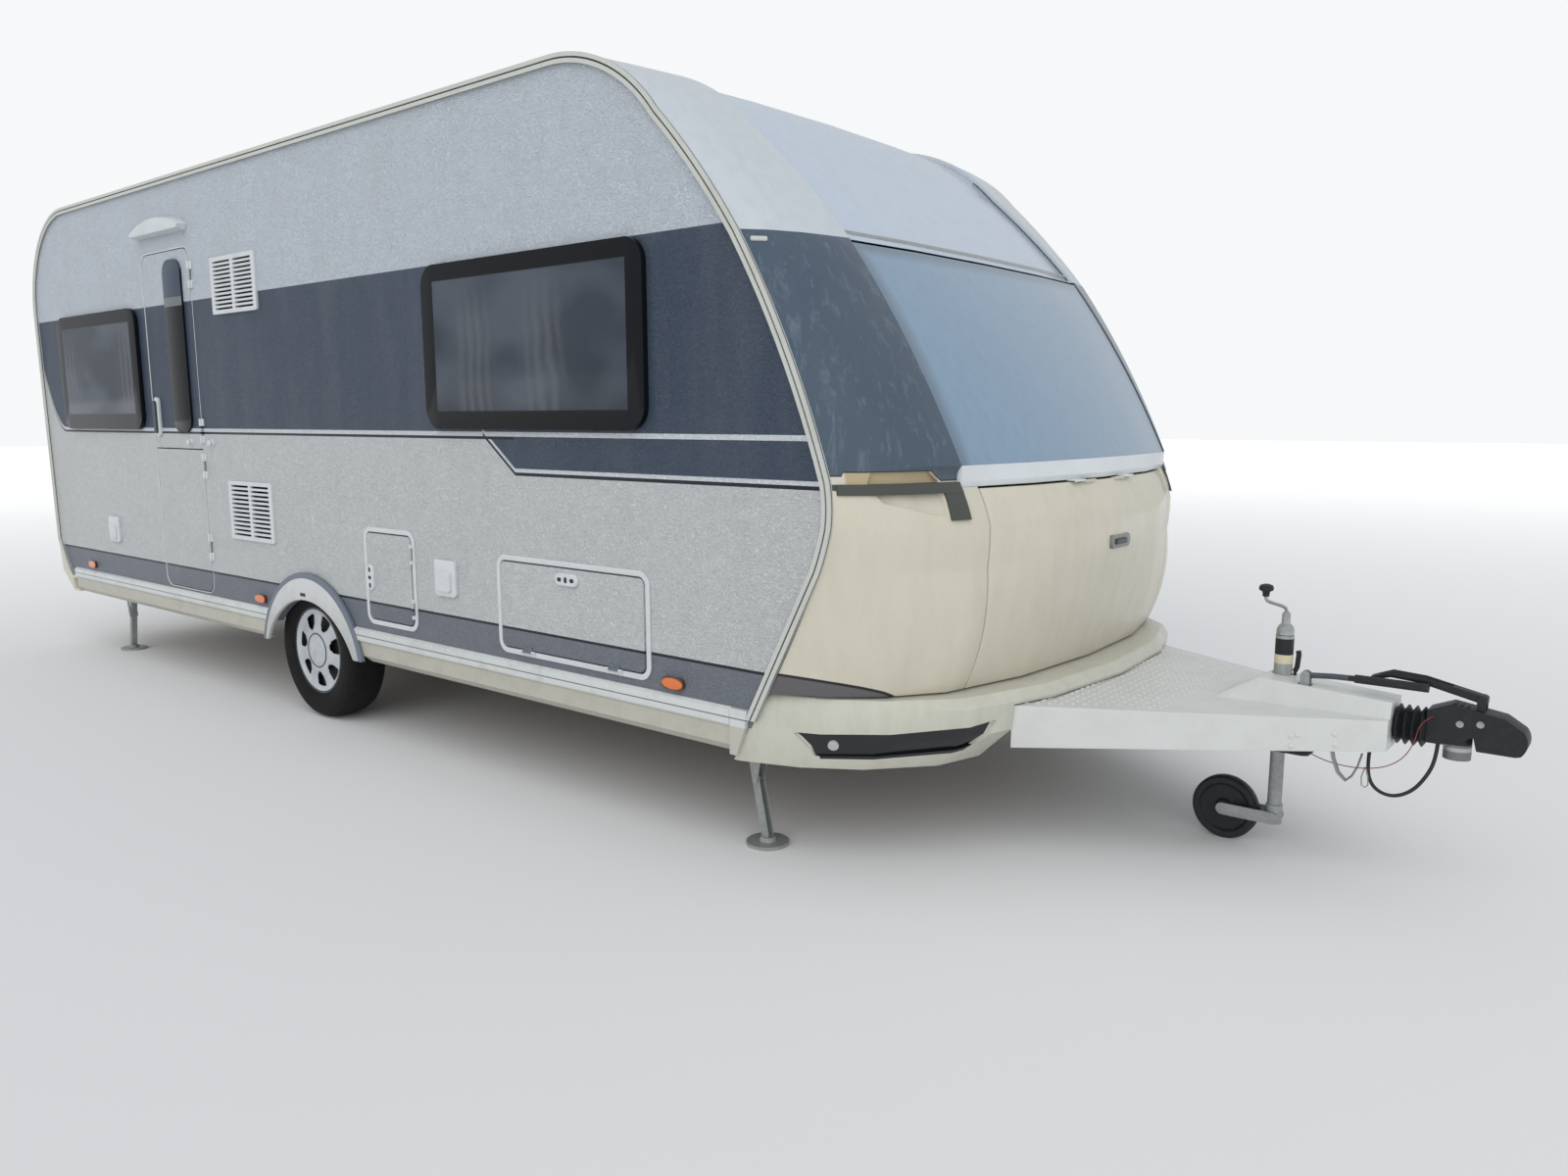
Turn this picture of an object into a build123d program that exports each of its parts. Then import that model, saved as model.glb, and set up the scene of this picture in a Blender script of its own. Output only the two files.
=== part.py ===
from build123d import *
import math
import os

# Travel caravan: single axle, sandwich body, moulded front with a gas locker, A-frame drawbar.
# Millimetres. +X towards the coupling, +Y to the caravan's left, +Z up, the ground at Z = 0.
# The origin lies on the ground at the middle of the overall length.

os.makedirs("parts", exist_ok=True)

# Driving sizes of the body
axle_x = -830.0  # wheel centres, from the origin
body_width = 2300.0
wall_thick = 34.0
wall_bottom = 446.0
wall_top = 2600.0
roof_thick = 34.0
roof_crown = 32.0
floor_thick = 40.0
seam = 0.5  # between bonded panels
running_gap = 6.0  # round doors, hatches and lids
half = body_width / 2
inner = half - wall_thick
right = -1
left = 1
floor_top = wall_bottom + floor_thick

# Rear of the side profile
rear_reach = 3020.0  # from the axle back to the rear panel
tail_x = axle_x - rear_reach
tail_radius = 570.0
tail_knee_x = tail_x + 35
tail_knee_z = 660.0
tail_foot_x = tail_x + 170

# Front of the side profile: height, x at the side wall and x at the middle (from the axle),
# and how far the stretch above that height bulges from a straight line
nose_z = 1090.0
low_z = 960.0
sill_z = 1230.0
sill_low_z = sill_z - 25
pane_foot_z = sill_z + 40
ridge_rise = 200.0  # height over which the nose's ridge comes in below the knee
head_drop = 635.0  # from the walls' top down to the window's head
head_z = wall_top - head_drop
brow_drop = 246.0  # from the walls' top down to the brow
brow_z = wall_top - brow_drop
front_levels = (
    (wall_bottom, 2774.0, 3330.0, 8.0),
    (low_z, 3040.0, 3474.0, 3.0),
    (nose_z, 3081.0, 3466.0, 6.0),
    (sill_z, 3077.0, 3385.0, 28.0),
    (head_z, 2735.0, 2925.0, 16.0),
    (brow_z, 2409.0, 2526.0, 0.0),
)
brow_reach = 1905.0
brow_start_x = axle_x + brow_reach
front_lip = 10.0  # the mouldings stand this far ahead of the wall's edge
# Half widths, how much of the way from side to middle the front has come there, and how much
# further back the nose's ridge lies
corner_table = (
    (0.0, 1.0, 0.0), (half - 700, 0.95, 0.05), (half - 350, 0.80, 0.13), (half - 170, 0.56, 0.10),
    (half - 65, 0.30, 0.05), (half, 0.0, 0.0),
)

# Front openings
glass_half = half - 353
lid_half = half - 435
lid_foot_z = 572.0
lid_head_z = sill_low_z - 7
skin_thick = 24.0
glass_thick = 6.0
centre_recess = 20.0  # the middle of the brow lies below the cheeks

# Wheels, axle and arches
wheel_radius = 325.0
tyre_width = 195.0
wheel_face = half - 45  # outer face of the tyre, from the middle
rim_radius = 205.0
arch_cut = (axle_x + 70, 143.0, 442.0)  # x, z, radius of the wall's cut-out
arch_rim = (axle_x + 87, 259.0, 452.0)  # outer edge of the moulding


def side_plane(y):
    """A sketch plane across the body at width y: local x is X and local y is Z."""
    return Plane.XZ.offset(-y)


def fullness(y, ridge=0.0):
    """How far the front has come from the side's x to the middle's at width y."""
    reach = min(abs(y), half)
    for (near, *full), (far, *less) in zip(corner_table, corner_table[1:]):
        if reach <= far:
            share = (reach - near) / (far - near)
            return full[0] + (less[0] - full[0]) * share - ridge * (full[1] + (less[1] - full[1]) * share)
    return 0.0


def ridge_share(z):
    """How much of the nose's ridge there is at height z: all of it from the knee up to the sill."""
    rising = (z - (low_z - ridge_rise)) / ridge_rise
    falling = (pane_foot_z - z) / (pane_foot_z - sill_z)
    return max(0.0, min(1.0, rising, falling))


def level_x(z, column, lip):
    """x of the front at height z, at the side wall (column 1) or the middle (column 2)."""
    for below, above in zip(front_levels, front_levels[1:]):
        if z <= above[0]:
            share = (z - below[0]) / (above[0] - below[0])
            straight = below[column] + (above[column] - below[column]) * share
            return axle_x + straight + 4 * below[3] * share * (1 - share) + lip
    return axle_x + front_levels[-1][column] + lip


def front_x(y, z):
    """x of the moulded front at width y and height z."""
    side = level_x(z, 1, front_lip)
    return side + (level_x(z, 2, 0) - side) * fullness(y, ridge_share(z))


def roof_z(y):
    return wall_top + roof_crown * (1 - (y / half) ** 2)


def stations(low, high, extra=()):
    """Widths where a moulded skin changes direction, between its two ends."""
    turns = [side * width for width, *_ in corner_table for side in (right, left)]
    inside = {y for y in [*turns, *extra] if low < y < high}
    return [low, *sorted(inside), high]


def rise_arcs(points):
    """Arcs through each run of three points."""
    for first, middle, last in zip(points[::2], points[1::2], points[2::2]):
        ThreePointArc(first, middle, last)


def front_points(y, heights, depth):
    """Points on the front at these heights and halfway between, set back by depth."""
    fine = [heights[0]]
    for upper in heights[1:]:
        fine += [(fine[-1] + upper) / 2, upper]
    return [(front_x(y, z) - depth, z) for z in fine]


def side_points(heights):
    """Points on the side wall's front edge at these heights and halfway between."""
    fine = [heights[0]]
    for upper in heights[1:]:
        fine += [(fine[-1] + upper) / 2, upper]
    return [(level_x(z, 1, 0), z) for z in fine]


def front_skin(low, high, heights, thick, inset=0.0, mode=Mode.ADD):
    """Loft a strip of the moulded front between two widths into the open part."""
    sections = []
    for y in stations(low, high, (-inner, inner)):
        depth = inset + (thick if abs(y) < inner - 20 else min(thick, front_lip - 8 * seam))
        with BuildSketch(side_plane(y)) as section:
            with BuildLine():
                outer = front_points(y, heights, inset)
                back = front_points(y, heights, depth)
                rise_arcs(outer)
                Line(outer[-1], back[-1])
                rise_arcs(back[::-1])
                Line(back[0], outer[0])
            make_face()
        sections.append(section.sketch)
    loft(sections, ruled=True, mode=mode)


def brow_skin(low, high, thick, inset=0.0):
    """Loft a strip of the brow, from the window head up to the roof."""
    sections = []
    for y in stations(low, high, (-inner, -inner + seam, inner - seam, inner)):
        over_wall = abs(y) >= inner
        outer = front_points(y, (head_z + seam, brow_z), 0)
        drop = inset + thick
        head, waist, brow = [(x - 0.6 * inset, z - 0.8 * inset) for x, z in outer]
        back_head, back_waist, back_brow = [(x - 0.6 * drop, z - 0.8 * drop) for x, z in outer]
        head = (outer[0][0] - inset, outer[0][1])
        back_head = (outer[0][0] - drop, outer[0][1])
        crest = (brow_start_x + seam, max(roof_z(y), wall_top + front_lip / 2) - inset)
        back_crest = (brow_start_x + seam, roof_z(y) - drop)
        if over_wall:
            edge = side_points((head_z + seam, brow_z))
            back_head, back_waist, back_brow = [(x + seam, z + seam) for x, z in edge]
            back_head = (back_head[0], head[1])
            back_crest = (brow_start_x + seam, wall_top + seam)
        with BuildSketch(side_plane(y)) as section:
            with BuildLine():
                ThreePointArc(head, waist, brow)
                TangentArc(crest, brow, tangent=(1, 0))
                Line(crest, back_crest)
                TangentArc(back_crest, back_brow, tangent=(1, 0))
                ThreePointArc(back_brow, back_waist, back_head)
                Line(back_head, head)
            make_face()
        sections.append(section.sketch)
    loft(sections, ruled=True)


def wall_outline():
    """Draw the side wall's outline, closed."""
    foot = (level_x(wall_bottom, 1, 0), wall_bottom)
    low, *nose = side_points((low_z, nose_z, sill_z, head_z, brow_z))
    Polyline(foot, (tail_foot_x, wall_bottom), (tail_knee_x, tail_knee_z), (tail_x, wall_top - tail_radius))
    RadiusArc((tail_x, wall_top - tail_radius), (tail_x + tail_radius, wall_top), tail_radius)
    Line((tail_x + tail_radius, wall_top), (brow_start_x, wall_top))
    TangentArc((brow_start_x, wall_top), nose[-1], tangent=(1, 0))
    rise_arcs([low, *nose])
    Line(low, foot)


def save(part, label):
    part.label = label
    export_step(part, f"parts/{label}.step")


# Openings in the side walls, from the axle: name, x from, x to, z from, z to, corner radius
door_high_z = wall_top - 352
door_rect = (-1456.0, -888.0, 513.0, door_high_z + 12, 66.0)
large_hatch_rect = (1524.0, 2312.0, 551.0, 886.0, 30.0)
small_hatch_rect = (596.0, 938.0, 554.0, 935.0, 30.0)
toilet_hatch_rect = (-1340.0, -960.0, 556.0, 916.0, 30.0)
front_window_rect = (1131.0, 2332.0, 1383.0, 1977.0, 70.0)
rear_window_rect = (-2640.0, -1560.0, 1365.0, 1985.0, 70.0)
kitchen_window_rect = (-820.0, 80.0, 1400.0, 1960.0, 70.0)
vent_high_rect = (-654.0, -213.0, 1907.0, 2173.0, 12.0)
vent_low_rect = (-632.0, -200.0, 822.0, 1110.0, 12.0)
right_holes = (
    door_rect, large_hatch_rect, small_hatch_rect, front_window_rect, rear_window_rect, vent_high_rect, vent_low_rect
)
left_holes = (large_hatch_rect, toilet_hatch_rect, front_window_rect, rear_window_rect, kitchen_window_rect)


def panel_rect(rect, grow=0.0):
    """Draw a rounded rectangle given from the axle, grown by a margin, in the open sketch."""
    low_x, high_x, low_edge, high_edge, radius = rect
    with Locations((axle_x + (low_x + high_x) / 2, (low_edge + high_edge) / 2)):
        RectangleRounded(high_x - low_x + 2 * grow, high_edge - low_edge + 2 * grow, max(radius + grow, 3))


def slab(side, near, far, rect, grow=0.0):
    """Add a rounded panel on one side wall, between two distances outwards from its face."""
    with BuildSketch(side_plane(side * (half + near))) as section:
        panel_rect(rect, grow)
    extrude(section.sketch, amount=-side * (far - near))


# Side walls: sandwich panels with their windows, hatches, door and wheel arch cut out
for side, holes, label in ((right, right_holes, "wall_right"), (left, left_holes, "wall_left")):
    with BuildPart() as wall:
        with BuildSketch(side_plane(side * half)):
            with BuildLine():
                wall_outline()
            make_face()
            with Locations((arch_cut[0], arch_cut[1])):
                Circle(arch_cut[2], mode=Mode.SUBTRACT)
            for hole in holes:
                with BuildSketch(mode=Mode.SUBTRACT):
                    panel_rect(hole)
        extrude(amount=side * wall_thick)
    save(wall.part, label)

# Roof, crowned across, with two roof-light openings
roof_light_x = (axle_x - 1700, axle_x + 900)
roof_light_side = 400.0
with BuildPart() as roof:
    for y in stations(-inner + seam, inner - seam):
        with BuildSketch(side_plane(y)):
            with Locations(((tail_x + tail_radius + brow_start_x) / 2, roof_z(y) - roof_thick / 2)):
                Rectangle(brow_start_x - tail_x - tail_radius, roof_thick)
    loft(ruled=True)
    with BuildSketch(Plane.XY.offset(wall_top - roof_thick - roof_crown)):
        with Locations(*[(x, 0) for x in roof_light_x]):
            RectangleRounded(roof_light_side, roof_light_side, 40)
    extrude(amount=roof_thick + 3 * roof_crown, mode=Mode.SUBTRACT)
save(roof.part, "roof")

# Rear panel, up and over into the roof, with its window cut out
rear_window = (0.0, wall_top - 950, 1180.0, 560.0, 80.0)  # middle y and z, width, height, corner radius
rear_skin = roof_thick
with BuildPart() as rear_panel:
    for y in stations(-inner + seam, inner - seam):
        crest = roof_z(y)
        shoulder = crest - tail_radius
        with BuildSketch(side_plane(y)):
            with BuildLine():
                Polyline((tail_foot_x, wall_bottom), (tail_knee_x, tail_knee_z), (tail_x, shoulder))
                RadiusArc((tail_x, shoulder), (tail_x + tail_radius, crest), tail_radius)
                Line((tail_x + tail_radius, crest), (tail_x + tail_radius, crest - rear_skin))
                RadiusArc(
                    (tail_x + tail_radius, crest - rear_skin),
                    (tail_x + rear_skin, shoulder),
                    -(tail_radius - rear_skin),
                )
                Polyline(
                    (tail_x + rear_skin, shoulder),
                    (tail_knee_x + rear_skin, tail_knee_z),
                    (tail_foot_x + rear_skin, wall_bottom),
                    (tail_foot_x, wall_bottom),
                )
            make_face()
    loft(ruled=True)
    with BuildSketch(Plane.YZ.offset(tail_x - 20)):
        with Locations((rear_window[0], rear_window[1])):
            RectangleRounded(rear_window[2], rear_window[3], rear_window[4])
    extrude(amount=rear_skin + 60, mode=Mode.SUBTRACT)
save(rear_panel.part, "rear_panel")

# Floor between the walls, with moulded boxes over the wheels
wheel_box_half = 430.0
wheel_box_top = 735.0
wheel_box_in = wheel_face - tyre_width - 42
wheel_box_skin = 6.0
bulkhead_reach = 2955.0
bulkhead_x = axle_x + bulkhead_reach
floor_front = bulkhead_x
floor_corner = (240.0, 190.0)  # cut off the front corners, across and along
with BuildPart() as floor:
    with BuildSketch(Plane.XY.offset(wall_bottom)):
        with Locations(((tail_foot_x + rear_skin + seam + floor_front) / 2, 0)):
            Rectangle(floor_front - tail_foot_x - rear_skin - seam, 2 * inner - 2 * seam)
        chamfer(vertices().group_by(Axis.X)[-1], floor_corner[0], floor_corner[1])
    extrude(amount=floor_thick)
    for side in (right, left):
        middle_y = side * (wheel_box_in + inner - seam) / 2
        width = inner - seam - wheel_box_in
        for grow, mode in ((wheel_box_skin, Mode.ADD), (0, Mode.SUBTRACT)):
            with BuildSketch(Plane.XY.offset(wall_bottom)):
                with Locations((axle_x, middle_y - side * grow / 2)):
                    Rectangle(2 * (wheel_box_half + grow), width + grow)
            extrude(amount=wheel_box_top + grow - wall_bottom, mode=mode)
save(floor.part, "floor")

# Gas locker: bulkhead behind, floor below and shelf above, carried by the floor and the front
locker_floor_z = wall_bottom + 10
shelf_z = sill_low_z + 1
board = 15.0
sill_back = 50.0
locker_side = half - 90  # half width of the bulkhead below the wings' waist
locker_waist_z = 760.0


def front_plan(z, set_back, reach, behind):
    """Points of a board's outline at height z, kept behind the front mouldings."""
    widths = stations(-reach, reach)
    return [(behind, -reach), *[(front_x(y, z) - set_back, y) for y in widths], (behind, reach), (behind, -reach)]


with BuildPart() as locker_box:
    with BuildSketch(Plane.YZ.offset(bulkhead_x + seam)):
        with Locations((0, (locker_floor_z + shelf_z + board) / 2)):
            Rectangle(2 * locker_side, shelf_z + board - locker_floor_z)
        with Locations((0, (locker_waist_z + shelf_z + board) / 2)):
            Rectangle(2 * (inner - 2), shelf_z + board - locker_waist_z)
    extrude(amount=board)
    for level, edge_z, set_back, reach in (
        (locker_floor_z, locker_floor_z, 60.0, half - 250),
        (shelf_z, sill_z, sill_back + seam, half - 170),
    ):
        with BuildSketch(Plane.XY.offset(level)):
            with BuildLine():
                Polyline(*front_plan(edge_z, set_back, reach, bulkhead_x + seam))
            make_face()
        extrude(amount=board)
save(locker_box.part, "locker_box")

# Grab bars across the front corners, each over a pocket sunk into the wing and the pillar
bar_low_z = sill_low_z - 14
bar_high_z = sill_low_z + 17
bar_tip_z = sill_low_z - 94  # the front end turns down to here
bar_tip_width = 62.0
bar_stand = 10.5
bar_far = half - 4
bar_near = glass_half + 3
pocket_deep = 15.0
pocket_outline = (
    (half - 64, bar_high_z - 3), (half - 78, bar_high_z + 36), (glass_half + 108, bar_high_z + 34),
    (glass_half + 70, bar_high_z + 3), (glass_half + 66, bar_low_z - 70), (glass_half + 130, bar_low_z - 60),
    (half - 98, bar_low_z - 24),
)
with BuildPart() as grab_pockets:
    for near, far in ((-bar_far, -bar_near), (bar_near, bar_far)):
        front_skin(near, far, (bar_tip_z, bar_low_z, bar_high_z, pane_foot_z), pocket_deep + 5, -5)
    with BuildSketch(Plane.YZ):
        for side in (right, left):
            with BuildLine():
                corners = [(side * y, z) for y, z in pocket_outline]
                Polyline(*corners, corners[0])
            make_face()
        fillet(vertices(), 12)
    extrude(amount=2 * brow_reach, mode=Mode.INTERSECT)

# Front mouldings
with BuildPart() as front_wings:
    front_skin(-half, -lid_half - running_gap, (lid_foot_z, low_z, nose_z, sill_low_z - seam), skin_thick)
    front_skin(lid_half + running_gap, half, (lid_foot_z, low_z, nose_z, sill_low_z - seam), skin_thick)
    add(grab_pockets.part, mode=Mode.SUBTRACT)
save(front_wings.part, "front_wings")

with BuildPart() as front_pillars:
    front_skin(-half, -glass_half - 3, (sill_low_z, pane_foot_z, head_z), skin_thick)
    front_skin(glass_half + 3, half, (sill_low_z, pane_foot_z, head_z), skin_thick)
    add(grab_pockets.part, mode=Mode.SUBTRACT)
    for side in (right, left):
        tip = sorted((side * bar_near, side * (bar_near + bar_tip_width)))
        front_skin(*sorted((side * bar_near, side * bar_far)), (bar_low_z, bar_high_z), bar_stand - seam, -bar_stand)
        front_skin(*tip, (bar_tip_z, bar_low_z + 12), bar_stand - 2 - seam, 1 - bar_stand)
        # Feet of the bar on the pillar
        for near, far in ((bar_far - 22, bar_far), (bar_near, bar_near + 50)):
            front_skin(*sorted((side * near, side * far)), (sill_low_z + seam, bar_high_z - 1), bar_stand, 1 - bar_stand)
save(front_pillars.part, "front_pillars")

with BuildPart() as front_cheeks:
    brow_skin(-half, -glass_half, skin_thick)
    brow_skin(glass_half, half, skin_thick)
save(front_cheeks.part, "front_cheeks")

with BuildPart() as front_roof:
    brow_skin(-glass_half + seam, glass_half - seam, skin_thick, centre_recess)
save(front_roof.part, "front_roof")

with BuildPart() as front_window:
    front_skin(-glass_half, glass_half, (pane_foot_z, head_z - 12), glass_thick, 4)
save(front_window.part, "front_window")

# Sill between the pane and the locker lid, a ledge that stands proud
sill_stand = 18.0
lid_hinge_x = front_x(0, lid_head_z) + 2
lid_hinge_z = lid_head_z + 3
lid_barrel = 2.7
lid_barrel_span = (82.0, 160.0)  # of the lid's barrels, from the middle
sill_barrel_length = 78.0


def lid_barrels(near, far, low, high, behind):
    """A pair of hinge barrels on the lid's axis, with a web between two heights and back from it."""
    for side in (right, left):
        with BuildSketch(side_plane(side * near)) as section:
            with Locations((lid_hinge_x, lid_hinge_z)):
                Circle(lid_barrel)
            with Locations((lid_hinge_x + (1 - behind) / 2, (low + high) / 2)):
                Rectangle(1 + behind, high - low)
        extrude(section.sketch, amount=-side * (far - near))


with BuildPart() as front_sill:
    for y in stations(-glass_half, glass_half):
        with BuildSketch(side_plane(y)):
            with BuildLine():
                ledge = front_x(y, sill_z)
                Polyline(
                    (ledge - sill_back, sill_low_z),
                    (ledge + sill_stand - 6, sill_low_z),
                    (ledge + sill_stand, sill_z - 8),
                    (front_x(y, pane_foot_z), pane_foot_z - seam),
                    (front_x(y, pane_foot_z) - 30, pane_foot_z - seam),
                    (ledge - sill_back, sill_low_z),
                )
            make_face()
    loft(ruled=True)
    sill_barrel = (lid_barrel_span[1] + seam, lid_barrel_span[1] + seam + sill_barrel_length)
    sill_reach = lid_hinge_x - front_x(sill_barrel[1], sill_z) - sill_stand + 10
    lid_barrels(*sill_barrel, lid_hinge_z + 1, sill_low_z + 1, sill_reach)
save(front_sill.part, "front_sill")

# Gas locker lid, hinged under the sill
lid_thick = 20.0
lid_lock_z = 988.0
lid_lock_size = (150.0, 46.0)
lid_lock_stand = 3.0
with BuildPart() as gas_locker_lid:
    front_skin(-lid_half, lid_half, (lid_foot_z, low_z, nose_z, lid_head_z), lid_thick)
    lid_barrels(*lid_barrel_span, lid_head_z - 4, lid_hinge_z, lid_hinge_x - front_x(lid_barrel_span[1], lid_head_z) + 3)
    # Lock: a plate with its turning handle
    with BuildSketch(Plane.YZ.offset(front_x(0, lid_lock_z) - 6)):
        with Locations((0, lid_lock_z)):
            RectangleRounded(*lid_lock_size, 20)
    extrude(amount=6 + lid_lock_stand)
    with BuildSketch(Plane.YZ.offset(front_x(0, lid_lock_z) + lid_lock_stand)):
        with Locations((0, lid_lock_z)):
            SlotOverall(lid_lock_size[0] - 40, 16)
    extrude(amount=8)
save(gas_locker_lid.part, "gas_locker_lid")

# Drawbar cover sizes: its rear end passes under the bumper
cover_rear_x = axle_x + 3400
rail_y = half - 550  # middle of the chassis rails
cover_rear_half = rail_y + 20
cover_rear_low = 378.0
cover_rear_top = 515.0
cover_front_x = axle_x + 4363
cover_front_half = 100.0
cover_front_low = 423.0
cover_front_top = 518.0
cover_skin = 4.0

# Front bumper: a deep sill below the wings and the lid, swept in to the walls' feet
bumper_low_z = 332.0
bumper_high_z = 562.0
bumper_thick = 26.0
bumper_low = (2725.0, 3372.0)  # x at the side and at the middle, from the axle
bumper_high = (2795.0, 3500.0)
bumper_end = half - seam
bumper_waist_z = 440.0
bumper_shoulder_z = 530.0
recess_deep = 14.0
recess_outline = (
    (half - 37, 451.0), (half - 74, 376.0), (half - 380, 397.0), (half - 419, 410.0), (half - 462, 483.0), (half - 383, 477.0)
)
bumper_lamp = (half - 92, 416.0, 17.0)  # y, z and radius of the lamps in the recesses


def bumper_x(y, z):
    """x of the bumper's lower face at width y and height z."""
    low_x, high_x = [side + (middle - side) * fullness(y) for side, middle in (bumper_low, bumper_high)]
    return axle_x + low_x + (high_x - 8 - low_x) * (z - bumper_low_z) / (bumper_waist_z - bumper_low_z)


# Fog-lamp recesses of the bumper, as a band of its face cut to their outline
with BuildPart() as bumper_recesses:
    for near, far in ((-bumper_end, -lid_half + 80), (lid_half - 80, bumper_end)):
        for y in stations(near, far):
            face = [(bumper_x(y, z), z) for z in (bumper_low_z, bumper_waist_z)]
            face.append((face[-1][0] + 8, bumper_shoulder_z))
            with BuildSketch(side_plane(y)):
                with BuildLine():
                    outer = [(x + 20, z) for x, z in face]
                    back = [(x - recess_deep, z) for x, z in face[::-1]]
                    Polyline(*outer, *back, outer[0])
                make_face()
        loft(ruled=True)
    with BuildSketch(Plane.YZ):
        for side in (right, left):
            with BuildLine():
                corners = [(side * y, z) for y, z in recess_outline]
                Polyline(*corners, corners[0])
            make_face()
        fillet(vertices(), 5)
    extrude(amount=2 * brow_reach, mode=Mode.INTERSECT)

with BuildPart() as front_bumper:
    for y in stations(-bumper_end, bumper_end):
        full = fullness(y)
        low_x = axle_x + bumper_low[0] + (bumper_low[1] - bumper_low[0]) * full
        high_x = axle_x + bumper_high[0] + (bumper_high[1] - bumper_high[0]) * full
        ledge_x = front_x(y, lid_foot_z) - 20
        with BuildSketch(side_plane(y)):
            with BuildLine():
                Polyline(
                    (low_x, bumper_low_z),
                    (high_x - 8, bumper_waist_z),
                    (high_x, bumper_shoulder_z),
                    (high_x - 26, bumper_high_z),
                    (min(ledge_x, high_x - 40), bumper_high_z + 4),
                    (min(ledge_x, high_x - 40), bumper_high_z - 22),
                    (high_x - bumper_thick, bumper_shoulder_z - 10),
                    (high_x - bumper_thick - 8, bumper_waist_z),
                    (low_x - bumper_thick, bumper_low_z),
                    (low_x, bumper_low_z),
                )
            make_face()
    loft(ruled=True)
    # The ends stop ahead of the walls and skirts
    with BuildSketch(Plane.XZ):
        with BuildLine():
            wall_outline()
        make_face()
    extrude(amount=half + 20, both=True, mode=Mode.SUBTRACT)
    # Notch for the drawbar and its cover
    with BuildSketch(Plane.YZ.offset(brow_start_x)):
        with Locations((0, cover_rear_top / 2)):
            Rectangle(2 * cover_rear_half + 2 * running_gap, cover_rear_top + 2 * running_gap)
    extrude(amount=2000, mode=Mode.SUBTRACT)
    add(bumper_recesses.part, mode=Mode.SUBTRACT)
save(front_bumper.part, "front_bumper")

# Rear bumper with its two lamp clusters, hung below and behind the rear panel
rear_bumper_depth = 46.0
rear_bumper_top = 640.0
rear_bumper_low = 350.0
rear_bumper_waist = 470.0
lamp_cluster = (half - 220, 520.0, 300.0, 110.0)  # middle y and z, width and height
with BuildPart() as rear_bumper:
    with BuildSketch(side_plane(half - 2)):
        with BuildLine():
            slope = (tail_knee_x - tail_foot_x) / (tail_knee_z - wall_bottom)
            back_top = tail_foot_x + slope * (rear_bumper_top - wall_bottom)
            Polyline(
                (tail_foot_x - seam, wall_bottom - seam),
                (back_top - seam, rear_bumper_top),
                (back_top - 26, rear_bumper_top),
                (back_top - rear_bumper_depth, rear_bumper_top - 40),
                (back_top - rear_bumper_depth + 20, rear_bumper_waist),
                (tail_foot_x + 10, rear_bumper_low),
                (tail_foot_x + 90, rear_bumper_low),
                (tail_foot_x + 90, rear_bumper_low + 12),
                (tail_foot_x + 24, rear_bumper_low + 12),
                (tail_foot_x + 4, wall_bottom - 16),
                (tail_foot_x + 90, wall_bottom - 16),
                (tail_foot_x + 90, wall_bottom - seam),
                (tail_foot_x - seam, wall_bottom - seam),
            )
        make_face()
    extrude(amount=2 * half - 4)
    for side in (right, left):
        with BuildSketch(Plane.YZ.offset(back_top - rear_bumper_depth - 20)):
            with Locations((side * lamp_cluster[0], lamp_cluster[1])):
                RectangleRounded(lamp_cluster[2], lamp_cluster[3], 20)
        extrude(amount=50, mode=Mode.SUBTRACT)
save(rear_bumper.part, "rear_bumper")

# Tail lamps in the bumper, lamps in the front recesses, and the amber markers along the sides
marker_x = (-2475.0, -382.0, 2439.0)  # from the axle
marker_z = 543.0
marker_size = (100.0, 42.0, 14.0)
with BuildPart() as lamps:
    for side in (right, left):
        with BuildSketch(Plane.YZ.offset(back_top - rear_bumper_depth - 6)):
            with Locations((side * lamp_cluster[0], lamp_cluster[1])):
                RectangleRounded(lamp_cluster[2] - 2, lamp_cluster[3] - 2, 19)
        extrude(amount=32)
        lamp_y, lamp_z, lamp_radius = bumper_lamp
        foot = Vector(bumper_x(lamp_y, lamp_z), side * lamp_y, lamp_z)
        run = Vector(bumper_x(lamp_y - 40, lamp_z) - foot.X, -side * 40, 0)
        rise = Vector(bumper_x(lamp_y, lamp_z + 20) - foot.X, 0, 20)
        outwards = run.cross(rise).normalized() * -side
        set_back = (recess_deep - 0.6) * outwards.X
        with BuildSketch(Plane(origin=foot - outwards * set_back, x_dir=run, z_dir=outwards)):
            Circle(lamp_radius)
        extrude(amount=set_back + 2)
        for x in marker_x:
            slab(side, seam, marker_size[2], (
                x - marker_size[0] / 2, x + marker_size[0] / 2,
                marker_z - marker_size[1] / 2, marker_z + marker_size[1] / 2, 20.0,
            ))
save(lamps.part, "lamps")

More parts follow.
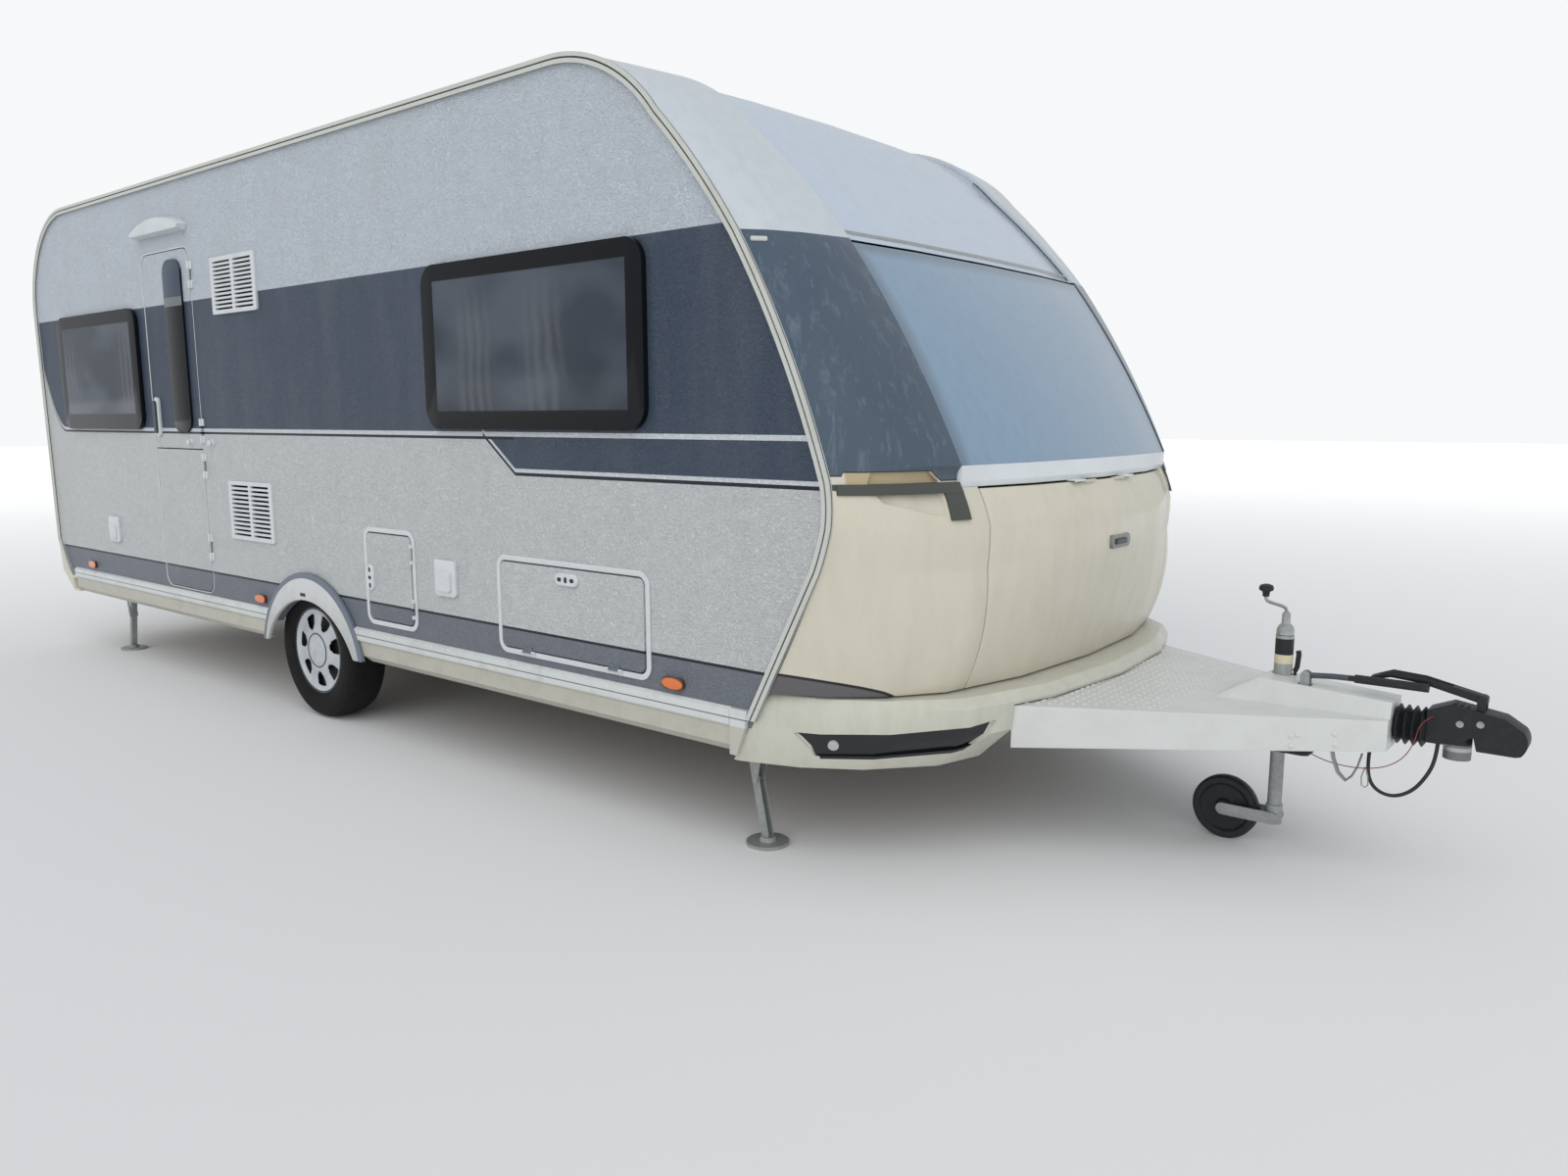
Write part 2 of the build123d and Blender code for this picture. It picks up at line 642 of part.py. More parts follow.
# Edge rails: the awning channel that wraps the walls' rear, top and front edges
rail_in = 26.0
rail_out = 8.0
rail_stand = 14.0
with BuildPart() as edge_rails:
    for side in (right, left):
        with BuildSketch(side_plane(side * half)):
            with BuildLine():
                wall_outline()
            make_face()
            offset(amount=rail_out, kind=Kind.ARC)
            with BuildSketch(mode=Mode.SUBTRACT):
                with BuildLine():
                    wall_outline()
                make_face()
                offset(amount=-rail_in, kind=Kind.ARC)
            with Locations((0, wall_bottom)):
                Rectangle(8000, 2 * rail_in + 4, mode=Mode.SUBTRACT)
        extrude(amount=-side * rail_stand)
        # Awning groove, a slot along the rail's outer face
        with BuildSketch(side_plane(side * (half + rail_stand))):
            with BuildLine():
                wall_outline()
            make_face()
            offset(amount=-6, kind=Kind.ARC)
            with BuildSketch(mode=Mode.SUBTRACT):
                with BuildLine():
                    wall_outline()
                make_face()
                offset(amount=-12, kind=Kind.ARC)
        extrude(amount=side * 6, mode=Mode.SUBTRACT)
save(edge_rails.part, "edge_rails")

# Skirts along the walls' feet, in front of and behind the wheel
skirt_low = 350.0
skirt_top = 504.0
skirt_stand = 16.0
skirt_skin = 5.0
skirt_front_x = axle_x + 2694
skirt_rear_x = tail_foot_x + 96
with BuildPart() as skirts:
    for side in (right, left):
        with BuildSketch(Plane.YZ.offset(skirt_rear_x)):
            with BuildLine():
                face = side * half
                Polyline(
                    (face + side * seam, skirt_top),
                    (face + side * skirt_stand, skirt_top - 8),
                    (face + side * skirt_stand, wall_bottom + 4),
                    (face + side * 6, wall_bottom - 8),
                    (face + side * 4, skirt_low + 30),
                    (face - side * 30, skirt_low),
                    (face - side * 30, skirt_low + skirt_skin),
                    (face + side * (4 - skirt_skin), skirt_low + 30 + skirt_skin),
                    (face + side * 1, wall_bottom - 12),
                    (face + side * seam, wall_bottom),
                    (face + side * seam, skirt_top),
                )
            make_face()
        extrude(amount=skirt_front_x - skirt_rear_x)
    with BuildSketch(Plane.XZ):
        with Locations((arch_rim[0], arch_rim[1])):
            Circle(arch_rim[2] + seam)
        with Locations((arch_rim[0], 200)):
            Rectangle(2 * math.sqrt(arch_rim[2] ** 2 - (wall_bottom - arch_rim[1]) ** 2), 500)
    extrude(amount=half + 60, both=True, mode=Mode.SUBTRACT)
save(skirts.part, "skirts")

# Wheel-arch mouldings
arch_stand = 22.0
arch_foot = 352.0
with BuildPart() as wheel_arches:
    for side in (right, left):
        with BuildSketch(side_plane(side * (half + seam))):
            with Locations((arch_rim[0], arch_rim[1])):
                Circle(arch_rim[2])
            with Locations((arch_cut[0], arch_cut[1])):
                Circle(arch_cut[2] - 4, mode=Mode.SUBTRACT)
            with Locations((arch_rim[0], arch_foot - 500)):
                Rectangle(2000, 1000, mode=Mode.SUBTRACT)
        extrude(amount=-side * arch_stand)
save(wheel_arches.part, "wheel_arches")

# Windows: bulged acrylic panes that close the openings from outside, and the rear pane
pane_stand = 22.0
pane_lap = 12.0
with BuildPart() as windows:
    for side, rects in (
        (right, (front_window_rect, rear_window_rect)),
        (left, (front_window_rect, rear_window_rect, kitchen_window_rect)),
    ):
        for rect in rects:
            slab(side, seam, pane_stand, rect, pane_lap)
    shoulder_z = wall_top + roof_crown - tail_radius
    lean = math.atan2(tail_knee_x - tail_x, shoulder_z - tail_knee_z)
    outwards = Vector(-math.cos(lean), 0, -math.sin(lean))
    face_x = tail_knee_x - (rear_window[1] - tail_knee_z) * math.tan(lean)
    face = Vector(face_x, rear_window[0], rear_window[1]) + outwards * seam
    with BuildSketch(Plane(origin=face, x_dir=(0, 1, 0), z_dir=outwards)):
        RectangleRounded(rear_window[2] + 2 * pane_lap, rear_window[3] + 2 * pane_lap, rear_window[4] + pane_lap)
    extrude(amount=pane_stand - seam)
save(windows.part, "windows")

# Roof lights: frame and clear dome over each opening
with BuildPart() as roof_lights:
    for x in roof_light_x:
        with BuildSketch(Plane.XY.offset(wall_top + roof_crown + seam)):
            with Locations((x, 0)):
                RectangleRounded(roof_light_side + 60, roof_light_side + 60, 60)
                RectangleRounded(roof_light_side - 20, roof_light_side - 20, 40, mode=Mode.SUBTRACT)
        extrude(amount=18)
        with BuildSketch(Plane.XY.offset(wall_top + roof_crown + seam + 18)):
            with Locations((x, 0)):
                RectangleRounded(roof_light_side + 30, roof_light_side + 30, 55)
        extrude(amount=34, taper=28)
save(roof_lights.part, "roof_lights")

# Door frame, with its hinge knuckles, in the right wall
hinge_x = axle_x - 884
hinge_y = right * (half + 9)
hinge_radius = 7.0
leaf_seat = 0.2  # the frame stands this far proud, and the wall leaves lie on it
leaf_out = 6.0
hinge_low = ((690.0, 830.0), (1110.0, 1235.0))  # lower door's hinges: from and to, upwards
hinge_high = ((1290.0, 1410.0), (door_high_z - 198, door_high_z - 68))
door_low_z = 523.0
door_split_z = 1256.0
door_rear_x = axle_x - 1444
door_front_x = axle_x - 899
door_corner = 60.0

with BuildPart() as door_frame:
    slab(right, -wall_thick, leaf_seat, (door_rect[0], door_rect[1], door_rect[2], door_rect[3], door_rect[4]), -seam)
    with BuildSketch(side_plane(right * (half + 30))):
        with Locations(((door_rear_x + door_front_x) / 2, (door_low_z + door_high_z) / 2)):
            RectangleRounded(
                door_front_x - door_rear_x + 2 * running_gap, door_high_z - door_low_z + 2 * running_gap - 1, door_corner
            )
    extrude(amount=right * 100, mode=Mode.SUBTRACT)
    for low, high in (*hinge_low, *hinge_high):
        for share in ((0.0, 0.3), (0.7, 1.0)):
            start = low + (high - low) * share[0]
            with BuildSketch(Plane.XY.offset(start)):
                with Locations((hinge_x, hinge_y)):
                    Circle(hinge_radius)
                with Locations((hinge_x + 10, right * (half + (leaf_seat + leaf_out) / 2))):
                    Rectangle(26, leaf_out - leaf_seat)
            extrude(amount=(high - low) * (share[1] - share[0]))
save(door_frame.part, "door_frame")

# Door halves, hinged at their front edge
with BuildPart() as door_lower:
    with BuildSketch(side_plane(right * half)):
        with BuildLine():
            low_arc = door_low_z + door_corner
            top = door_split_z - running_gap / 2
            Line((door_rear_x, top), (door_rear_x, low_arc))
            RadiusArc((door_rear_x, low_arc), (door_rear_x + door_corner, door_low_z), -door_corner)
            Line((door_rear_x + door_corner, door_low_z), (door_front_x - door_corner, door_low_z))
            RadiusArc((door_front_x - door_corner, door_low_z), (door_front_x, low_arc), -door_corner)
            Polyline((door_front_x, low_arc), (door_front_x, top), (door_rear_x, top))
        make_face()
    extrude(amount=right * wall_thick)
    for low, high in hinge_low:
        with BuildSketch(Plane.XY.offset(low + (high - low) * 0.3 + seam)):
            with Locations((hinge_x, hinge_y)):
                Circle(hinge_radius)
            with Locations((hinge_x - 14, right * (half + (1 + leaf_out) / 2))):
                Rectangle(28, leaf_out - 1)
            with Locations((door_front_x - 12, right * (half + leaf_out / 2))):
                Rectangle(24, leaf_out)
        extrude(amount=(high - low) * 0.4 - 2 * seam)
save(door_lower.part, "door_lower")

door_window = (-1176.0, -992.0, 1352.0, door_high_z - 53, 60.0)
door_window_x = (door_window[0] + door_window[1]) / 2
with BuildPart() as door_upper:
    with BuildSketch(side_plane(right * half)):
        with BuildLine():
            high_arc = door_high_z - door_corner
            foot = door_split_z + running_gap / 2
            Line((door_rear_x, foot), (door_rear_x, high_arc))
            RadiusArc((door_rear_x, high_arc), (door_rear_x + door_corner, door_high_z), door_corner)
            Line((door_rear_x + door_corner, door_high_z), (door_front_x - door_corner, door_high_z))
            RadiusArc((door_front_x - door_corner, door_high_z), (door_front_x, high_arc), door_corner)
            Polyline((door_front_x, high_arc), (door_front_x, foot), (door_rear_x, foot))
        make_face()
        with BuildSketch(mode=Mode.SUBTRACT):
            panel_rect(door_window)
    extrude(amount=right * wall_thick)
    for low, high in hinge_high:
        with BuildSketch(Plane.XY.offset(low + (high - low) * 0.3 + seam)):
            with Locations((hinge_x, hinge_y)):
                Circle(hinge_radius)
            with Locations((hinge_x - 14, right * (half + (1 + leaf_out) / 2))):
                Rectangle(28, leaf_out - 1)
            with Locations((door_front_x - 12, right * (half + leaf_out / 2))):
                Rectangle(24, leaf_out)
        extrude(amount=(high - low) * 0.4 - 2 * seam)
save(door_upper.part, "door_upper")

# Tinted pane of the upper door, proud of its face, with the handle and the lock below it
handle_x = axle_x - 1380
with BuildPart() as door_pane:
    slab(right, seam, 10, door_window, 10)
save(door_pane.part, "door_pane")

with BuildPart() as door_handle:
    with BuildSketch(side_plane(right * (half + seam))):
        with Locations((handle_x, 1420)):
            RectangleRounded(52, 205, 25)
    extrude(amount=12)
    with BuildSketch(side_plane(right * (half + seam + 12))):
        with Locations((handle_x, 1420)):
            RectangleRounded(30, 170, 14)
    extrude(amount=14)
save(door_handle.part, "door_handle")

# Service hatches: framed panels of the wall, each on a pair of hinge barrels along one edge
# label, side, hole, hinged edge
hatch_table = (
    ("hatch_large_right", right, large_hatch_rect, "foot"),
    ("hatch_small_right", right, small_hatch_rect, "front"),
    ("hatch_large_left", left, large_hatch_rect, "foot"),
    ("hatch_toilet_left", left, toilet_hatch_rect, "front"),
)
hatch_stand = 8.0
hatch_barrel = 5.0
hatch_strap = 18.0
hatch_pin_out = hatch_stand + 4  # of the hinge's axis from the wall
hatch_pin_set = 1.0  # of the hinge's axis outside the hole's edge
frame_width = 20.0
frame_stand = 5.0
knuckle_length = 16.0


def hinge_piece(side, rect, hinged, share, leaf):
    """One hinge's part on the leaf, or its two knuckles on the frame, along the hinged edge."""
    low_x, high_x, low_edge, high_edge, _ = rect
    pin_y = side * (half + hatch_pin_out)
    if hinged == "foot":
        plane, middle, pin = Plane.YZ, axle_x + low_x + (high_x - low_x) * share, low_edge - hatch_pin_set
        inward = 1
    else:
        plane, middle, pin = Plane.XY, low_edge + (high_edge - low_edge) * share, axle_x + high_x + hatch_pin_set
        inward = -1
    reach = inward * (hatch_strap if leaf else -knuckle_length / 2)
    floor_y = side * (half + (hatch_stand if leaf else seam))
    spans = ((-25.0, 50.0),) if leaf else ((-25.0 - seam - knuckle_length, knuckle_length), (25.0 + seam, knuckle_length))
    for start, length in spans:
        with BuildSketch(plane.offset(middle + start)) as section:
            spots = [(pin_y, pin), ((pin_y + floor_y) / 2, pin + reach / 2)]
            if hinged != "foot":
                spots = [(v, u) for u, v in spots]
            with Locations(spots[0]):
                Circle(hatch_barrel)
            with Locations(spots[1]):
                across, along = abs(pin_y - floor_y), abs(reach)
                Rectangle(*((across, along) if hinged == "foot" else (along, across)))
        extrude(section.sketch, amount=length)


for label, side, rect, hinged in hatch_table:
    with BuildPart() as hatch:
        slab(side, -wall_thick, hatch_stand, rect, -running_gap)
        for share in (0.2, 0.8):
            hinge_piece(side, rect, hinged, share, leaf=True)
    save(hatch.part, label)

with BuildPart() as hatch_frames:
    for label, side, rect, hinged in hatch_table:
        with BuildSketch(side_plane(side * (half + seam))) as ring:
            panel_rect(rect, frame_width)
            with BuildSketch(mode=Mode.SUBTRACT):
                panel_rect(rect, 0)
        extrude(ring.sketch, amount=-side * (frame_stand - seam))
        for share in (0.2, 0.8):
            hinge_piece(side, rect, hinged, share, leaf=False)
save(hatch_frames.part, "hatch_frames")

# Fridge vents and outlet covers on the walls
vent_stand = 10.0
slat_count = 12
outlet_rects = ((right, 1106.0, 710.0), (right, -2161.0, 708.0), (left, 400.0, 760.0))
with BuildPart() as wall_fittings:
    for rect in (vent_high_rect, vent_low_rect):
        low_x, high_x, low_edge, high_edge, _ = rect
        with BuildSketch(side_plane(right * (half - 6))):
            panel_rect(rect, -seam)
            pitch = (high_edge - low_edge - 30) / slat_count
            for column in (0.27, 0.73):
                for row in range(slat_count):
                    with Locations((
                        axle_x + low_x + (high_x - low_x) * column,
                        low_edge + 15 + pitch * (row + 0.5),
                    )):
                        Rectangle((high_x - low_x) * 0.4, pitch * 0.5, mode=Mode.SUBTRACT)
        extrude(amount=6 + vent_stand)
    for side, low_x, low_edge in outlet_rects:
        slab(side, seam, 14, (low_x, low_x + 140, low_edge, low_edge + 145, 18))
        slab(side, 14, 24, (low_x + 25, low_x + 115, low_edge + 20, low_edge + 100, 14))
save(wall_fittings.part, "wall_fittings")

# Lamp over the door, under its rain brow
lamp_brow = (-1472.0, -875.0, wall_top - 270, wall_top - 181)  # from the axle: x from and to, z from and to
with BuildPart() as awning_lamp:
    with BuildSketch(side_plane(right * (half + seam))):
        with BuildLine():
            start = (axle_x + lamp_brow[0], lamp_brow[2] + 30)
            end = (axle_x + lamp_brow[1], lamp_brow[2] + 30)
            crown = ((start[0] + end[0]) / 2, lamp_brow[3])
            ThreePointArc(start, crown, end)
            Polyline(end, (end[0] - 20, lamp_brow[2]), (start[0] + 20, lamp_brow[2]), start)
        make_face()
    extrude(amount=46, taper=12)
save(awning_lamp.part, "awning_lamp")

# Chassis: two pressed side rails, cross members and the converging drawbar members
rail_height = 98.0
rail_web = 5.0
rail_flange = 45.0
rail_reach = (-2420.0, 2330.0)  # of the side rails, from the axle
rail_rear_x = axle_x + rail_reach[0]
rail_front_x = axle_x + rail_reach[1]
cross_member_x = (-2380.0, -1145.0, 1250.0, 2200.0)
rail_top_z = wall_bottom - seam
drawbar_start = (axle_x + 2290.0, rail_y, 388.0)
drawbar_end = (axle_x + 4330.0, 72.0, 452.0)
drawbar_height = 56.0
drawbar_flange = rail_flange - 5


def member_inner(x):
    """Distance from the middle to a drawbar member's inner face, at a place along the caravan."""
    slope = (drawbar_start[1] - drawbar_end[1]) / (drawbar_end[0] - drawbar_start[0])
    return drawbar_end[1] + (drawbar_end[0] - x) * slope - drawbar_flange / 2 * math.hypot(1, slope)


with BuildPart() as chassis:
    for side in (right, left):
        with BuildSketch(Plane.YZ.offset(rail_rear_x)):
            with Locations((side * rail_y, rail_top_z - rail_height / 2)):
                Rectangle(rail_flange, rail_height)
            with Locations((side * (rail_y + rail_web), rail_top_z - rail_height / 2)):
                Rectangle(rail_flange, rail_height - 2 * rail_web, mode=Mode.SUBTRACT)
        extrude(amount=rail_front_x - rail_rear_x)
    for x in cross_member_x:
        with BuildSketch(Plane.YZ.offset(axle_x + x)):
            with Locations((0, rail_top_z - rail_height / 2)):
                Rectangle(2 * rail_y - rail_flange, rail_height - 20)
        extrude(amount=rail_web)
    for side in (right, left):
        start = Vector(drawbar_start[0], side * drawbar_start[1], drawbar_start[2])
        end = Vector(drawbar_end[0], side * drawbar_end[1], drawbar_end[2])
        along = end - start
        with BuildSketch(Plane(origin=start, x_dir=(0, 1, 0), z_dir=along)):
            Rectangle(drawbar_flange, drawbar_height)
            with Locations((side * rail_web, 0)):
                Rectangle(drawbar_flange, drawbar_height - 2 * rail_web, mode=Mode.SUBTRACT)
        extrude(amount=along.length)
save(chassis.part, "chassis")

# Axle: square tube under the rails, trailing arms, stub axles and backplates
axle_tube = 88.0
axle_tube_x = axle_x + 165
axle_tube_z = rail_top_z - rail_height - axle_tube / 2
stub_radius = 20.0
arm_thick = 32.0
arm_out = wheel_face - tyre_width - 78  # outer face of the trailing arms
arm_in = arm_out - arm_thick
with BuildPart() as axle:
    with BuildSketch(Plane.XZ.offset(-arm_in)):
        with Locations((axle_tube_x, axle_tube_z)):
            RectangleRounded(axle_tube, axle_tube, 14)
    extrude(amount=2 * arm_in)
    for side in (right, left):
        with BuildSketch(side_plane(side * arm_in)):
            with BuildLine():
                Polyline(
                    (axle_tube_x + 34, axle_tube_z - 34), (axle_tube_x + 34, axle_tube_z + 34),
                    (axle_x - 28, wheel_radius + 30), (axle_x - 34, wheel_radius - 26),
                    (axle_tube_x + 34, axle_tube_z - 34),
                )
            make_face()
        extrude(amount=-side * arm_thick)
        with BuildSketch(side_plane(side * arm_out)):
            with Locations((axle_x, wheel_radius)):
                Circle(120)
        extrude(amount=-side * 12)
        with BuildSketch(side_plane(side * arm_out)):
            with Locations((axle_x, wheel_radius)):
                Circle(stub_radius)
        extrude(amount=-side * (wheel_face - 24 - arm_out))
save(axle.part, "axle")

# Wheels: tyre, and a seven-spoke rim with its drum and cap
spoke_count = 7
flange_radius = rim_radius + 1
bead_radius = flange_radius + seam
tyre_shoulder = 30.0
for side, name in ((right, "right"), (left, "left")):
    with BuildPart() as tyre:
        with BuildSketch(Plane.XY):
            with BuildLine():
                out_y = wheel_face
                in_y = wheel_face - tyre_width
                Polyline(
                    (bead_radius, in_y + 16), (wheel_radius - tyre_shoulder, in_y), (wheel_radius, in_y + 28),
                    (wheel_radius, out_y - 28), (wheel_radius - tyre_shoulder, out_y - 2), (rim_radius + 52, out_y),
                    (bead_radius, out_y - 16), (bead_radius, in_y + 16),
                )
            make_face()
        revolve(axis=Axis.Y)
    body = tyre.part if side == left else mirror(tyre.part, Plane.XZ)
    save(Pos(axle_x, 0, wheel_radius) * body, f"tyre_{name}")
    with BuildPart() as rim:
        bore = stub_radius + seam
        with BuildSketch(Plane.XY):
            with BuildLine():
                Polyline(
                    (rim_radius + 1, in_y + 16.5), (rim_radius + 1, in_y + 24), (rim_radius - 12, in_y + 34),
                    (rim_radius - 12, out_y - 34), (rim_radius + 1, out_y - 24), (rim_radius + 1, out_y - 16.5),
                    (rim_radius - 8, out_y - 16.5), (rim_radius - 20, out_y - 36), (150, out_y - 26),
                    (60, out_y - 16), (bore, out_y - 16), (bore, out_y - 59),
                    (50, out_y - 60), (120, out_y - 44), (rim_radius - 20, out_y - 58),
                    (rim_radius - 20, in_y + 34), (rim_radius - 8, in_y + 16.5), (rim_radius + 1, in_y + 16.5),
                )
            make_face()
        revolve(axis=Axis.Y)
        with BuildSketch(Plane.XZ.offset(-out_y)):
            with PolarLocations(128, spoke_count):
                SlotOverall(74, 34)
        extrude(amount=70, mode=Mode.SUBTRACT)
        with BuildSketch(Plane.XZ.offset(-(out_y - 17))):
            Circle(32)
        extrude(amount=-10)
    body = rim.part if side == left else mirror(rim.part, Plane.XZ)
    save(Pos(axle_x, 0, wheel_radius) * body, f"rim_{name}")

# Drawbar cover: an open-bottomed moulding over the A-frame, humped over the overrun gear
hump_x = (axle_x + 3850, axle_x + 3985)  # foot and crest of the hump
hump_half = (120.0, 98.0, 78.0)  # half widths at the foot, the crest and the front
hump_top = 592.0
hump_front_top = 566.0
jockey_x = axle_x + 4021
jockey_y = 40.0
post_radius = 28.0
coupling_z = 493.0
tube_radius = 30.0
brake_pivot = (axle_x + 4112, -40.0, 612.0)
brake_bar = 9.0
brake_ear = 5.0
brake_gap = 9.0  # from the middle of the lever's boss to each ear
brake_foot = 28.0
with BuildPart() as drawbar_cover:
    for skin, mode in ((0.0, Mode.ADD), (cover_skin, Mode.SUBTRACT)):
        low = cover_rear_low - 20 * (skin > 0)
        front_low = cover_front_low - 20 * (skin > 0)
        with BuildSketch(Plane.YZ.offset(cover_rear_x - 5 * (skin > 0))):
            with Locations((0, (low + cover_rear_top - skin) / 2)):
                Rectangle(2 * (cover_rear_half - skin), cover_rear_top - skin - low)
        with BuildSketch(Plane.YZ.offset(cover_front_x - skin)):
            with Locations((0, (front_low + cover_front_top - skin) / 2)):
                Rectangle(2 * (cover_front_half - skin), cover_front_top - skin - front_low)
        loft(ruled=True, mode=mode)
        for x, wide, top in zip(
            (hump_x[0], hump_x[1], cover_front_x - skin), hump_half, (cover_rear_top + 1, hump_top, hump_front_top)
        ):
            with BuildSketch(Plane.YZ.offset(x)):
                with BuildLine():
                    foot = cover_rear_top - 6
                    Polyline(
                        (-wide + skin, foot), (-wide * 0.8 + skin, top - skin), (wide * 0.8 - skin, top - skin),
                        (wide - skin, foot), (-wide + skin, foot),
                    )
                make_face()
        loft(ruled=True, mode=mode)
    with BuildSketch(Plane.XY.offset(coupling_z)):
        with Locations((jockey_x, jockey_y)):
            Circle(post_radius + 3)
    extrude(amount=200, mode=Mode.SUBTRACT)
    with BuildSketch(Plane.YZ.offset(cover_front_x - 30)):
        with Locations((0, coupling_z)):
            Circle(tube_radius + 3)
    extrude(amount=60, mode=Mode.SUBTRACT)
    with BuildSketch(Plane.XY.offset(coupling_z)):
        with Locations((brake_pivot[0], brake_pivot[1])):
            Rectangle(brake_foot + 12, 2 * (brake_gap + brake_ear) + 10)
    extrude(amount=200, mode=Mode.SUBTRACT)
save(drawbar_cover.part, "drawbar_cover")

# Overrun tube in its flange between the drawbar members, and the housing at its rear end that
# carries the brake lever's ears up through the cover
tube_rear_x = axle_x + 4100
head_rear_x = axle_x + 4452
flange_front_x = axle_x + 4322
flange_length = 60.0
with BuildPart() as coupling_tube:
    with BuildSketch(Plane.YZ.offset(tube_rear_x)):
        with Locations((0, coupling_z)):
            Circle(tube_radius)
    extrude(amount=head_rear_x - tube_rear_x + 60)
    with BuildSketch(Plane.YZ.offset(flange_front_x - flange_length)):
        with Locations((0, coupling_z - 20)):
            RectangleRounded(2 * (member_inner(flange_front_x) - seam), 104, 10)
    extrude(amount=flange_length)
    with BuildSketch(Plane.YZ.offset(brake_pivot[0] - 24)):
        with Locations(((brake_pivot[1] + brake_gap) / 2 - 6, coupling_z - 2)):
            Rectangle(92, 58)
    extrude(amount=48)
    for side in (right, left):
        with BuildSketch(side_plane(brake_pivot[1] + side * brake_gap)):
            with Locations((brake_pivot[0], brake_pivot[2])):
                Circle(brake_foot / 2)
            with Locations((brake_pivot[0], (brake_pivot[2] + coupling_z) / 2)):
                Rectangle(brake_foot, brake_pivot[2] - coupling_z)
        extrude(amount=-side * brake_ear)
save(coupling_tube.part, "coupling_tube")

# Bellows between the cover and the head
bellows_folds = 4
bellows_radius = 62.0
bellows_rear_x = cover_front_x + seam
with BuildPart() as bellows:
    with BuildSketch(Plane.XZ):
        with BuildLine():
            pitch = (head_rear_x - seam - bellows_rear_x) / bellows_folds
            crest = [(bellows_rear_x, coupling_z + bellows_radius - 18)]
            for fold in range(bellows_folds):
                crest.append((bellows_rear_x + pitch * (fold + 0.5), coupling_z + bellows_radius))
                crest.append((bellows_rear_x + pitch * (fold + 1), coupling_z + bellows_radius - 18))
            Polyline(
                *crest, (crest[-1][0], coupling_z + tube_radius + seam), (crest[0][0], coupling_z + tube_radius + seam),
                crest[0],
            )
        make_face()
    revolve(axis=Axis((0, 0, coupling_z), (1, 0, 0)))
save(bellows.part, "bellows")

# Coupling head: cast body over the ball, with its socket open below
ball_x = axle_x + 4650
ball_radius = 25.0
socket_z = 478.0  # the ball's centre
head_half = 40.0
head_low = 452.0
handle_pivot = (axle_x + 4585, 600.0)
handle_half = 22.0
handle_loop = 196.0
pot_x = axle_x + 4531.5
pot_low_z = 414.0
pot_radius = 37.0
with BuildPart() as coupling_head:
    with BuildSketch(Plane.XZ.offset(-head_half)):
        with BuildLine():
            nose = axle_x + 4707
            Polyline(
                (head_rear_x + 61, coupling_z - 36), (head_rear_x, coupling_z - 36), (head_rear_x, coupling_z + 62),
                (head_rear_x + 60, coupling_z + 88), (nose - 60, coupling_z + 66), (nose - 12, 528),
            )
            ThreePointArc((nose - 12, 528), (nose, 500), (nose - 14, head_low + 4))
            Polyline(
                (nose - 14, head_low + 4), (nose - 26, head_low), (ball_x - 66, head_low), (ball_x - 76, coupling_z - 2),
                (head_rear_x + 61, coupling_z - 36),
            )
        make_face()
    extrude(amount=2 * head_half)
    with BuildSketch(Plane.XY.offset(head_low - 1)):
        with Locations((ball_x, 0)):
            Circle(ball_radius + seam)
    extrude(amount=socket_z - head_low + 1, mode=Mode.SUBTRACT)
    with BuildSketch(Plane.XZ) as dome:
        with Locations((ball_x, socket_z)):
            Circle(ball_radius + seam)
        with Locations((ball_x - 50, socket_z)):
            Rectangle(100, 200, mode=Mode.SUBTRACT)
    revolve(axis=Axis((ball_x, 0, 0), (0, 0, 1)), mode=Mode.SUBTRACT)
    with BuildSketch(Plane.YZ.offset(head_rear_x - 1)):
        with Locations((0, coupling_z)):
            Circle(tube_radius + seam / 2)
    extrude(amount=62, mode=Mode.SUBTRACT)
    # Round pot under the head's middle
    with BuildSketch(Plane.XY.offset(pot_low_z)):
        with Locations((pot_x, 0)):
            Circle(pot_radius)
            Circle(pot_radius - 8, mode=Mode.SUBTRACT)
    extrude(until=Until.NEXT)
    for side in (right, left):
        with BuildSketch(side_plane(side * (handle_half + seam))):
            with Locations(handle_pivot):
                Circle(11)
            with Locations((handle_pivot[0], handle_pivot[1] - 20)):
                Rectangle(22, 40)
        extrude(amount=-side * 6)
save(coupling_head.part, "coupling_head")

# Handle of the coupling, hinged on top of the head and lying back over the bellows
with BuildPart() as coupling_handle:
    with BuildSketch(Plane.XZ.offset(-handle_half)):
        with BuildLine():
            pin_x, pin_z = handle_pivot
            Polyline(
                (pin_x + 14, pin_z - 12), (pin_x + 14, pin_z + 10), (pin_x - 150, pin_z + 46),
                (pin_x - 240, pin_z + 52), (pin_x - 296, pin_z + 30), (pin_x - 296, pin_z + 18),
                (pin_x - 240, pin_z + 34), (pin_x - 160, pin_z + 28), (pin_x - 14, pin_z - 8),
                (pin_x + 14, pin_z - 12),
            )
        make_face()
    extrude(amount=2 * handle_half)
    # The grip is a loop
    with BuildSketch(Plane.XY.offset(pin_z)):
        with Locations((pin_x - 175, 0)):
            SlotOverall(handle_loop, 2 * handle_half - 18)
    extrude(amount=100, mode=Mode.SUBTRACT)
save(coupling_handle.part, "coupling_handle")

